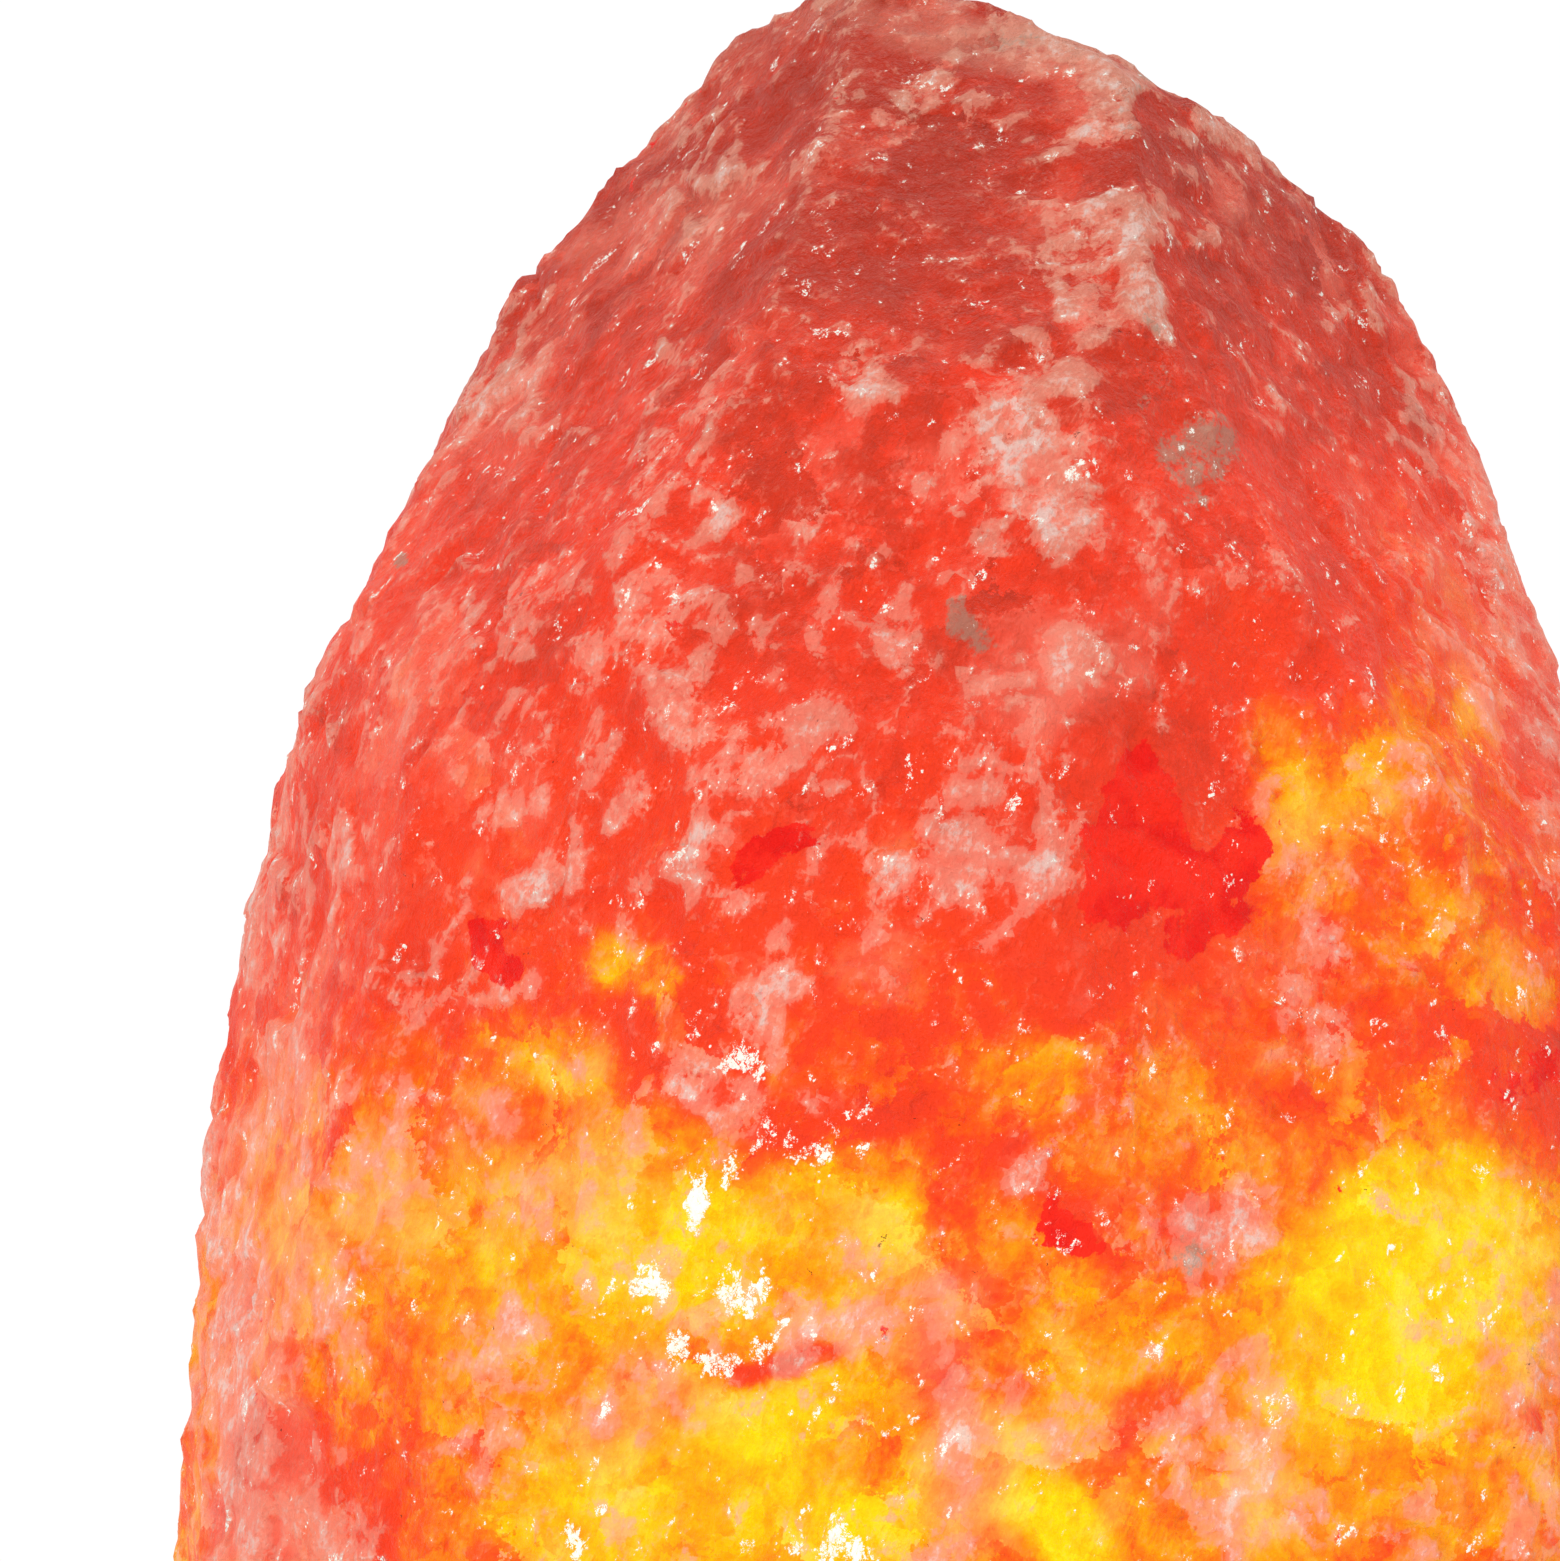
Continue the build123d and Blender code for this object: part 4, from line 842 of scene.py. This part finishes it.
        cracks = node("TexVoronoi", {"Vector": ragged, "Scale": 1 / self.crack_spacing},
                      feature="DISTANCE_TO_EDGE")
        values["crack"] = node("MapRange", [cracks, 0.02, 0.14, -0.45, 0.0], interpolation_type="SMOOTHSTEP")
        specks = node("TexVoronoi", {"Vector": ragged, "Scale": 1 / self.speck_spacing})
        rare = node("SeparateColor", [specks.outputs["Color"]])
        rare = node("MapRange", [rare.outputs["Blue"], 0.66, 0.67, 0.0, 0.8])
        speck = node("MapRange", [specks.outputs["Distance"], 0.06, 0.035, 0.0, 1.0])
        values["speck"] = node("Math", [speck, rare], operation="MULTIPLY")
        return Pattern(node, values)

    def veils(self, pattern: Pattern) -> None:
        """Work out the clear salt, the milk in and on the stone, its thickest spots and the clay.

        The milk is soft inside, with crisp ragged edges, and broken up into crumbs.

        Args:
            pattern: The stone's values, which get the shares named window, clouded, tint, milky, chalky
                and muddy.
        """
        node, weigh = pattern.node, pattern.weigh
        smooth = {"interpolation_type": "SMOOTHSTEP"}
        clear = weigh(-0.15, clear=1.0, cloud=0.25, wisp=0.2, block_blue=0.3)
        clear = node("MapRange", [clear, 0.42, 0.48, 0.0, 1.0], **smooth)
        clouded = node("Math", [1.0, clear], operation="SUBTRACT")
        tint = weigh(-0.08, blush=0.62, haze=0.3, depth=0.15, flake_slope=0.4)
        tint = node("Math", [tint, clouded], operation="MULTIPLY", use_clamp=True)

        # the ridge layer makes ridges paler, partly crushed salt and partly a painted highlight, and hollows
        # deeper red, a painted shade
        veil = weigh(-0.33, milk=1.0, ridge=0.3, haze=0.2, cloud=0.16, wisp=0.12, hairs=0.2, flake_green=0.2,
                     flake_slope=0.6, block_green=0.2, block_slope=0.4, grain_green=0.2, grain_slope=0.3)
        pattern.keep(veil=veil)
        dust = weigh(-0.25, crumb=0.5, wisp=0.4, veil=0.5, fleck_green=0.5)
        dust = node("MapRange", [dust, 0.1, 0.65, 0.0, 0.36], **smooth)
        patchy = node("MapRange", [pattern.values["haze"], -0.25, 0.15, 0.35, 1.0], **smooth)
        pattern.keep(
            soft=node("MapRange", [veil, 0.0, 0.9, 0.0, 0.45], **smooth),
            crisp=node("MapRange", [veil, 0.32, 0.37, 0.0, 0.32], **smooth),
            dust=node("Math", [dust, patchy], operation="MULTIPLY"),
        )
        milky = node("Math", [weigh(soft=1.0, crisp=1.0, dust=1.0), clouded], operation="MULTIPLY",
                     use_clamp=True)

        chalky = weigh(-0.15, veil=1.0, crumb=0.3, wisp=0.3, fleck_green=0.3)
        muddy = weigh(clay=1.0, cloud=0.3, crumb=0.3, wisp=0.3)
        pattern.keep(
            window=clear,
            clouded=clouded,
            tint=tint,
            milky=milky,
            chalky=node("MapRange", [chalky, 0.7, 1.5, 0.0, 0.7], **smooth),
            muddy=node("MapRange", [muddy, 0.4, 0.9, 0.0, 0.7], **smooth),
        )

    def sparkle(self, pattern: Pattern) -> None:
        """Work out the painted glints, highlights where tiny broken faces would catch the light, and the
        painted flares of the bulb in thin clear grain.

        The glints stand here and there in clusters. The painted flares have the bulb right behind them.

        Args:
            pattern: The stone's values, which get two shares: the painted glints and the painted flares.
        """
        node, weigh = pattern.node, pattern.weigh
        smooth = {"interpolation_type": "SMOOTHSTEP"}
        # painted highlights: white points in clusters, more where the glint zone is painted
        chance = weigh(fleck_red=1.0, cloud=0.3, wisp=0.35, spark=0.36)
        pattern.keep(size=node("MapRange", [chance, 1.04, 1.18, 0.0, weigh(0.1, spark=0.14)]))
        glint = node("MapRange", [weigh(size=1.0, fleck_reach=-1.0), 0.0, 0.06, 0.0, 1.0], **smooth)
        # painted flares: white spots where the bulb's light shines through thin clear grain
        bare = weigh(-0.22, flare=1.0, wisp=0.5, crumb=0.3, crack=1.0, grain_blue=0.5)
        pattern.keep(
            glint=node("Math", [glint, pattern.values["clouded"]], operation="MULTIPLY"),
            bare=node("MapRange", [bare, 0.5, 0.66, 0.0, 1.0], **smooth),
        )

    def build(self) -> bpy.types.Material:
        """Make the material."""
        material, node, place = self.start()
        pattern = self.pattern(node, place)
        values, weigh = pattern.values, pattern.weigh
        self.veils(pattern)
        self.sparkle(pattern)

        # the stone's colour with its painted glow, by how much of the bulb's light comes through
        wild = weigh(-0.43, haze=0.5, depth=0.3, wisp=0.18, crumb=0.08, hairs=0.2, flake_red=0.4,
                     flake_slope=0.8, block_red=0.3, block_slope=0.4, grain_red=0.16)
        wildness = node("MapRange", [values["glow"], 0.3, 0.7, 0.15, 0.3], interpolation_type="SMOOTHSTEP")
        heat = node("Math", [wild, wildness, values["glow"]], operation="MULTIPLY_ADD")
        thin = node("MapRange", [values["depth"], -0.3, 0.3, 0.0, 1.0])
        clear = node("Mix", {0: thin, 6: linear(self.thick_clear), 7: linear(self.thin_clear)},
                     data_type="RGBA")

        # and what lies over it, from the inside out
        colour = self.ramp(node, heat, self.fire)
        milk = self.ramp(node, heat, self.veil)
        for share, over in {
            "window": clear,
            "tint": milk,
            "milky": milk,
            "chalky": linear(self.chalk),
            "muddy": linear(self.clay),
            # painted highlights
            "glint": linear(self.glint),
            # painted flares
            "bare": linear(self.flare),
            "speck": linear(self.speck),
        }.items():
            colour = node("Mix", {0: values[share], 6: colour, 7: over}, data_type="RGBA")

        # relief of the broken stone: each block and each grain is a little tilted face
        height = weigh(grain_slope=0.5, block_slope=1.2, cloud=0.8, wisp=0.45, crumb=0.14, hairs=0.3)
        # the painted glow also shines as emission, more where the glow is stronger
        power = node("MapRange", [heat, 0.1, 0.9, *self.inner_light])
        shader = node("BsdfPrincipled", {
            "Base Color": node("VectorMath", {0: colour, "Scale": self.surface_share}, operation="SCALE"),
            "Roughness": node("MapRange", [values["cloud"], -0.4, 0.4, *self.roughness]),
            "IOR": self.ior,
            "Specular IOR Level": self.gloss,
            "Sheen Weight": self.sheen,
            "Sheen Roughness": self.sheen_roughness,
            "Sheen Tint": linear(self.sheen_tint),
            "Emission Color": node("VectorMath", {0: colour, "Scale": power}, operation="SCALE"),
            "Emission Strength": 1.0,
            "Normal": node("Bump", {"Height": height, "Strength": 1.0, "Distance": self.relief * MM}),
        })
        node("OutputMaterial", [shader])
        return material


# ------------------------------------------------------------------ sub-assemblies
@dataclass
class SaltLump:
    """The hewn lump of rock salt."""

    body: str = "lamp"
    voxel: float = 1.0  # spacing of the mesh
    drilled_radius: float = 30.0  # nothing hewn is nearer to the axis, below the end of the bore
    drilled_top: float = 126.0
    plug_radius: float = 50.0  # and the plugs' holes stay inside this
    plug_top: float = 60.0
    # share of the bulb's light that reaches the face, painted as glow, by height over the table
    glow_heights: tuple[float, ...] = (31, 45, 60, 75, 95, 108, 116, 124, 135, 150, 175, 200, 222)
    glow_shares: tuple[float, ...] = (0.5, 0.62, 0.7, 0.74, 0.75, 0.71, 0.6, 0.46, 0.4, 0.36, 0.28, 0.18, 0.1)
    bore_glow: float = 0.95  # in the bore and the plugs' holes
    patches: dict[Layer, list[Patch]] = field(default_factory=lambda: PATCHES)
    patch_fade: tuple[float, float] = (22.0, -4.0)  # the patches fade in from back to front between these
    patch_stray: tuple[float, float] = (3.6, 11.0)  # how far their edges wander, and over what length
    blotch: float = 26.0  # width of the blotches on the sides and the back, which stand in for patches
    bulb_height: float = 98.0
    bulb_reach: tuple[float, float] = (20.0, 8.0)  # flares die out between these, above and below the bulb
    wild_glow: float = 0.3  # how much brighter or darker a blotch is
    calm_front: float = 0.75  # less this share of it on the front
    flake: tuple[float, float] = (7.5, 0.16)  # width of the broken flakes, and how steep they lean
    flake_warp: float = 6.0  # their edges bend over this length
    flake_seam: float = 0.7  # and they sink this near to their edges
    grain: tuple[float, float] = (3.0, 0.1)
    swelling: tuple[float, float] = (3.4, 0.26)  # width and height
    ridge_rounds: int = 14  # how many times the mesh is smoothed to find its ridges
    ridge_plain: float = 0.03  # how far the lump's own roundness stands out
    ridge_height: float = 0.16  # a full ridge stands out by this much

    def raw_mesh(self, solid: bpy.types.Object) -> bpy.types.Mesh:
        """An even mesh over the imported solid.

        Args:
            solid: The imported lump.

        Returns:
            The mesh, in metres.
        """
        rough = bpy.data.objects.new("rough_lump", solid.data.copy())
        bpy.context.scene.collection.objects.link(rough)
        remesh = rough.modifiers.new("even", "REMESH")
        remesh.mode = "VOXEL"
        remesh.voxel_size = self.voxel * MM
        wrap = rough.modifiers.new("seat", "SHRINKWRAP")
        wrap.target = solid
        wrap.wrap_method = "NEAREST_SURFACEPOINT"
        evaluated = rough.evaluated_get(bpy.context.evaluated_depsgraph_get())
        mesh = bpy.data.meshes.new_from_object(evaluated)
        bpy.data.objects.remove(rough)
        return mesh

    def hewn(self, points: np.ndarray) -> np.ndarray:
        """How freely each point may be cut: 0 where the stone is sawn or drilled, 1 where it is hewn."""
        radius = np.hypot(points[:, 0], points[:, 1])
        height = points[:, 2]
        drilled = (radius < self.drilled_radius) & (height < self.drilled_top)
        drilled |= (radius < self.plug_radius) & (height < self.plug_top)
        free = smoothstep(0.2, 5.0, height - height.min())
        return np.where(drilled, 0.0, free)

    def carve(self, points: np.ndarray, normals: np.ndarray) -> np.ndarray:
        """Cut flakes and grain into the struck faces.

        Args:
            points: Places in millimetres, n by 3.
            normals: The outward directions there.

        Returns:
            The new places.
        """
        (flake_width, flake_lean), (grain_width, grain_lean) = self.flake, self.grain
        swell_width, swell_height = self.swelling
        warp = soft_noise(points, self.flake_warp, SEED - 6)[:, None]
        flake, flake_edge = chips(points + warp, flake_width, SEED + 20)
        grain, _ = chips(points, grain_width, SEED + 40)
        cut = flake_lean * flake * smoothstep(0.0, self.flake_seam, flake_edge)
        cut += grain_lean * grain
        cut += swell_height * soft_noise(points, swell_width, SEED + 70, 3)
        return points + normals * (cut * self.hewn(points))[:, None]

    def ridges(self, mesh: bpy.types.Mesh, points: np.ndarray, normals: np.ndarray) -> np.ndarray:
        """How far each point stands out of the stone round it.

        Args:
            mesh: The lump's mesh.
            points: Its places in millimetres, n by 3.
            normals: The outward directions there.

        Returns:
            From -1 in a hollow to 1 on a ridge.
        """
        ends = np.empty(len(mesh.edges) * 2, dtype=np.int64)
        mesh.edges.foreach_get("vertices", ends)
        near, far = np.concatenate([ends.reshape(-1, 2), ends.reshape(-1, 2)[:, ::-1]]).T
        beside = np.bincount(near, minlength=len(points))[:, None]
        smooth = points
        for _ in range(self.ridge_rounds):
            total = [np.bincount(near, weights=smooth[far, i], minlength=len(points)) for i in range(3)]
            smooth = (smooth + np.stack(total, axis=1) / beside) / 2
        proud = ((points - smooth) * normals).sum(axis=1) - self.ridge_plain
        return np.clip(proud / self.ridge_height, -1.0, 1.0)

    def paint(self, points: np.ndarray, layer: Layer) -> np.ndarray:
        """How much of one layer lies at each point.

        Args:
            points: Places in millimetres, n by 3.
            layer: Which layer.

        Returns:
            One value for each point.
        """
        front = smoothstep(*self.patch_fade, points[:, 1])
        seed = SEED + 100 + 7 * list(Layer).index(layer)
        broad = soft_noise(points, self.blotch, seed, 3)
        local = np.zeros(len(points))
        far, width = self.patch_stray
        stray = np.stack([far * soft_noise(points, width, SEED + 90 + i, 4) for i in range(3)], axis=1)
        for patch in self.patches[layer]:
            cover = patch.cover(points + stray) * patch.amount
            local = local + cover if layer is Layer.GLOW else np.maximum(local, cover)
        if layer is Layer.GLOW:
            # painted glow: a share by height, with patches on the front and blotches elsewhere
            plain = np.interp(points[:, 2], self.glow_heights, self.glow_shares)
            lit = smoothstep(0.2, 0.5, plain)
            chance = (1 - self.calm_front * front) * self.wild_glow * broad
            value = plain + front * local + chance * lit
            return np.where(self.hewn(points) > 0, value, self.bore_glow)
        most, low, high = BLOTCHES[layer]
        wild = most * smoothstep(low, high, broad)
        if layer is Layer.FLARE:
            wild = wild * smoothstep(*self.bulb_reach, abs(points[:, 2] - self.bulb_height))
        return front * local + (1 - front) * wild

    def build(self, solid: bpy.types.Object, finish: bpy.types.Material) -> bpy.types.Object:
        """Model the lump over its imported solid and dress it.

        Args:
            solid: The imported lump.
            finish: The stone's material.

        Returns:
            The finished piece.
        """
        mesh = self.raw_mesh(solid)
        count = len(mesh.vertices)
        flat = np.empty(count * 3)
        mesh.vertices.foreach_get("co", flat)
        points = flat.reshape(-1, 3) / MM
        flat_normals = np.empty(count * 3)
        mesh.vertex_normals.foreach_get("vector", flat_normals)
        carved = self.carve(points, flat_normals.reshape(-1, 3))
        low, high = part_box(solid.name)
        carved = np.clip(carved * MM, np.array(low), np.array(high))
        mesh.vertices.foreach_set("co", carved.ravel())
        mesh.update()
        mesh.vertex_normals.foreach_get("vector", flat_normals)
        ridges = self.ridges(mesh, carved / MM, flat_normals.reshape(-1, 3))
        for layer in Layer:
            values = ridges if layer is Layer.RIDGE else self.paint(carved / MM, layer)
            attribute = mesh.attributes.new(layer.value, "FLOAT", "POINT")
            attribute.data.foreach_set("value", values.astype(np.float32))
        mesh.polygons.foreach_set("use_smooth", [True] * len(mesh.polygons))
        mesh.update()
        piece = new_piece("hewn_salt", mesh, self.body, finish)
        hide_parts(solid.name)
        return piece


@cache
def made(finish: Finish) -> bpy.types.Material:
    """The finish's material, made once however many pieces have it."""
    return finish.build()


def dress(nodes: dict[str, bpy.types.Object], finish: Finish, *names: str) -> None:
    """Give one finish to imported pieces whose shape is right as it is.

    Args:
        nodes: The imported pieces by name.
        finish: Their finish.
        names: Which pieces.
    """
    for name in names:
        for slot in nodes[name].material_slots:
            slot.material = made(finish)
        LOG.info("%s: dressed in %s", name, finish.name)


ZINC = Metal("steel_zinc_plated", "#c6cacd", "#98a0a8", (0.24, 0.42), (1.0, 1.0, 1.0))
BRASS = Metal("brass_pressed", "#dcb768", "#a57c3e", (0.18, 0.36), (1.0, 1.0, 5.0))


@dataclass
class WoodenBase:
    """The turned base with its feet, and the fixings that hold the lump on it."""

    wood: Finish = TurnedHardwood("hardwood_turned_lacquered")
    rubber: Finish = Moulded("rubber_moulded", "#2c2a29", "#3a3735", (0.62, 0.85), 1.52, 0.6, 0.03)
    zinc: Finish = ZINC
    nylon: Finish = Moulded("nylon_moulded", "#d8d4c6", "#c6c0ae", (0.34, 0.5), 1.53)

    def build(self, nodes: dict[str, bpy.types.Object]) -> None:
        """Dress the base.

        Args:
            nodes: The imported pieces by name.
        """
        dress(nodes, self.wood, "wood_base")
        dress(nodes, self.rubber, "rubber_feet")
        dress(nodes, self.zinc, "base_screws", "foot_screws")
        dress(nodes, self.nylon, "wall_plugs")


@dataclass
class LampHolder:
    """The screw-cap lamp holder on its spring clip."""

    phenolic: Finish = Moulded("phenolic_moulded", "#231915", "#33251d", (0.2, 0.36), 1.6, 0.8, 0.015)
    porcelain: Finish = Moulded("porcelain_glazed", "#f1ede2", "#e5decf", (0.12, 0.25), 1.5, 1.2, 0.03, 1.0)
    brass: Finish = BRASS
    zinc: Finish = ZINC
    spring: Finish = Metal("spring_steel_tempered", "#9a9ca0", "#5f6873", (0.2, 0.4), (5.0, 1.0, 5.0))
    bush: Finish = Moulded("nylon_bush_moulded", "#1e1e20", "#2a2a2c", (0.35, 0.5), 1.53)

    def build(self, nodes: dict[str, bpy.types.Object]) -> None:
        """Dress the holder.

        Args:
            nodes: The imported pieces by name.
        """
        dress(nodes, self.phenolic, "holder_body", "holder_cap")
        dress(nodes, self.porcelain, "holder_core")
        dress(nodes, self.brass, "thread_shell", "centre_contact", "contact_rivets", "terminal_blocks")
        dress(nodes, self.zinc, "tube_nuts", "tube_washer", "terminal_screws")
        dress(nodes, self.spring, "spring_clip")
        dress(nodes, self.bush, "cord_bush")


@dataclass
class Bulb:
    """The pygmy bulb, with its filament coiled."""

    glass: Finish = BlownGlass("soda_glass_blown")
    nickel: Finish = Metal("brass_nickel_plated", "#d2ccc0", "#a8a194", (0.12, 0.3), (1.0, 1.0, 1.0))
    brass: Finish = BRASS
    vitrite: Finish = Moulded("black_glass_pressed", "#0d0d11", "#17171c", (0.06, 0.14), 1.52)
    wire: Finish = Metal("nickel_wire_drawn", "#b9b4aa", "#8d887f", (0.22, 0.4))
    tungsten: Finish = GlowingTungsten("tungsten_wire_coiled")
    coil_pitch: float = 0.5  # from turn to turn
    wire_radius: float = 0.11
    wire_sides: int = 8
    steps: int = 16  # round one turn of the coil

    def coil(self, low: Vector, high: Vector) -> bpy.types.Mesh:
        """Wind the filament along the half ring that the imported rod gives.

        Args:
            low: The rod's lowest corner, in metres.
            high: Its highest corner.

        Returns:
            The wire as a closed tube, in metres.
        """
        rod = (high.z - low.z) / 2 / MM
        ring = (high.x - low.x) / 2 / MM - rod
        middle = Vector(((low.x + high.x) / 2, low.y, (low.z + high.z) / 2)) / MM
        turns = math.pi * ring / self.coil_pitch
        count = round(turns * self.steps)
        path = []
        for i in range(count + 1):
            swing, spin = math.pi * i / count, 2 * math.pi * i / self.steps
            reach = ring + (rod - self.wire_radius) * math.cos(spin)
            rise = (rod - self.wire_radius) * math.sin(spin)
            path.append(middle + Vector((reach * math.cos(swing), reach * math.sin(swing), rise)))
        vertices, faces = [], []
        for i, point in enumerate(path):
            ahead = (path[min(i + 1, count)] - path[max(i - 1, 0)]).normalized()
            side = ahead.cross(point - middle).normalized()
            up = side.cross(ahead)
            for k in range(self.wire_sides):
                angle = 2 * math.pi * k / self.wire_sides
                out = (side * math.cos(angle) + up * math.sin(angle)) * self.wire_radius
                vertices.append((point + out) * MM)
        for i in range(count):
            for k in range(self.wire_sides):
                here, there = i * self.wire_sides, (i + 1) * self.wire_sides
                near, far = k, (k + 1) % self.wire_sides
                faces.append((here + near, here + far, there + far, there + near))
        faces.append(tuple(reversed(range(self.wire_sides))))
        faces.append(tuple(range(count * self.wire_sides, (count + 1) * self.wire_sides)))
        mesh = bpy.data.meshes.new("coiled_filament")
        mesh.from_pydata([tuple(v) for v in vertices], [], faces)
        mesh.polygons.foreach_set("use_smooth", [True] * len(mesh.polygons))
        return mesh

    def build(self, nodes: dict[str, bpy.types.Object]) -> None:
        """Dress the bulb and wind its filament.

        Args:
            nodes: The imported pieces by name.
        """
        dress(nodes, self.glass, "bulb_glass", "bulb_stem")
        dress(nodes, self.nickel, "bulb_cap")
        dress(nodes, self.brass, "cap_contact")
        dress(nodes, self.vitrite, "cap_insulator")
        dress(nodes, self.wire, "lead_wires", "support_wires")
        low, high = (Vector(corner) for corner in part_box("filament"))
        piece = new_piece("coiled_filament", self.coil(low, high), "bulb", self.tungsten.build())
        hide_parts("filament")


@dataclass(frozen=True)
class Softbox:
    """One square, soft light.

    Args:
        name: Its name.
        place: Where it stands, in metres.
        size: Its side, in metres.
        power: Its power in watts.
    """

    name: str
    place: tuple[float, float, float]
    size: float
    power: float

    def build(self, aim: Vector) -> None:
        """Put the light in the scene.

        Args:
            aim: The place that it points at, in metres.
        """
        light = bpy.data.lights.new(self.name, "AREA")
        light.size = self.size
        light.energy = self.power
        box = bpy.data.objects.new(self.name, light)
        bpy.context.scene.collection.objects.link(box)
        box.location = Vector(self.place)
        box.rotation_euler = (aim - Vector(self.place)).to_track_quat("-Z", "Y").to_euler()


@dataclass
class Studio:
    """Floor, light and camera."""

    floor_radius: float = 1.1  # metres
    floor_sides: int = 128
    floor_colour: str = "#f4f3f1"
    floor_fade: tuple[float, float] = (0.3, 0.9)  # a painted glow turns the floor white between these, from the middle
    floor_glow: float = 0.3  # what it takes to turn white
    sky: float = 0.5  # strength of the plain light from all round
    backdrop: float = 1.02  # strength of the white that the camera sees
    aim: tuple[float, float, float] = (0.0, 0.0, 0.12)
    softboxes: tuple[Softbox, ...] = (
        Softbox("key_softbox", (-0.9, -1.1, 1.0), 0.45, 12.0),
        Softbox("fill_softbox", (1.1, -0.9, 0.6), 0.5, 4.0),
        Softbox("top_softbox", (0.1, 0.3, 1.5), 0.8, 7.0),
    )
    lens: float = 293.0  # millimetres
    sensor: float = 36.0
    camera_x: float = -16.0
    camera_distance: float = 1200.0
    camera_height: float = 147.3

    def room(self) -> None:
        """Light the lamp evenly from all round, before pure white."""
        world = bpy.data.worlds.new("white_room")
        bpy.context.scene.world = world
        world.use_nodes = True
        world.node_tree.nodes.clear()
        node = partial(add_node, world.node_tree)
        plain, white = (node("Background", {"Color": linear("#ffffff"), "Strength": strength})
                        for strength in (self.sky, self.backdrop))
        seen = node("LightPath").outputs["Is Camera Ray"]
        node("OutputWorld", [node("MixShader", [seen, plain, white])])

    def card(self) -> bpy.types.Material:
        """Make the floor's matt white card, which fades into the white behind it by a painted glow towards
        its edge.
        """
        card = bpy.data.materials.new("white_card")
        card.use_nodes = True
        card.node_tree.nodes.clear()
        node = partial(add_node, card.node_tree)
        away = node("VectorMath", [node("TexCoord").outputs["Object"]], operation="LENGTH")
        glow = node("MapRange", [away.outputs["Value"], *self.floor_fade, 0.0, self.floor_glow],
                    interpolation_type="SMOOTHSTEP")
        paper = node("BsdfPrincipled", {
            "Base Color": linear(self.floor_colour),
            "Roughness": 0.9,
            "Emission Color": linear("#ffffff"),
            "Emission Strength": glow,
        })
        node("OutputMaterial", [paper])
        return card

    def floor(self) -> None:
        """Lay a round floor under the lamp."""
        turns = [2 * math.pi * i / self.floor_sides for i in range(self.floor_sides)]
        ring = [(self.floor_radius * math.cos(a), self.floor_radius * math.sin(a), 0.0) for a in turns]
        mesh = bpy.data.meshes.new("floor")
        mesh.from_pydata(ring, [], [list(range(self.floor_sides))])
        mesh.materials.append(self.card())
        floor = bpy.data.objects.new("floor", mesh)
        bpy.context.scene.collection.objects.link(floor)

    def camera(self) -> None:
        """Look straight at the lamp from the front."""
        camera = bpy.data.cameras.new("camera")
        camera.lens = self.lens
        camera.sensor_width = self.sensor
        camera.clip_end = 20.0
        view = bpy.data.objects.new("camera", camera)
        bpy.context.scene.collection.objects.link(view)
        view.location = Vector((self.camera_x, -self.camera_distance, self.camera_height)) * MM
        view.rotation_euler = (math.pi / 2, 0.0, 0.0)
        bpy.context.scene.camera = view

    def build(self) -> None:
        """Set up the stage."""
        bpy.context.scene.view_settings.view_transform = "Standard"
        self.room()
        self.floor()
        for softbox in self.softboxes:
            softbox.build(Vector(self.aim))
        self.camera()


def main() -> None:
    """Build the lamp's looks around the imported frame."""
    logging.basicConfig(level=logging.INFO, format="%(message)s")
    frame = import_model()
    nodes = frame["nodes"]

    SaltLump().build(nodes["salt_crystal"], RockSalt("rock_salt_hewn").build())
    WoodenBase().build(nodes)
    LampHolder().build(nodes)
    Bulb().build(nodes)
    Studio().build()


if __name__ == "__main__":
    main()
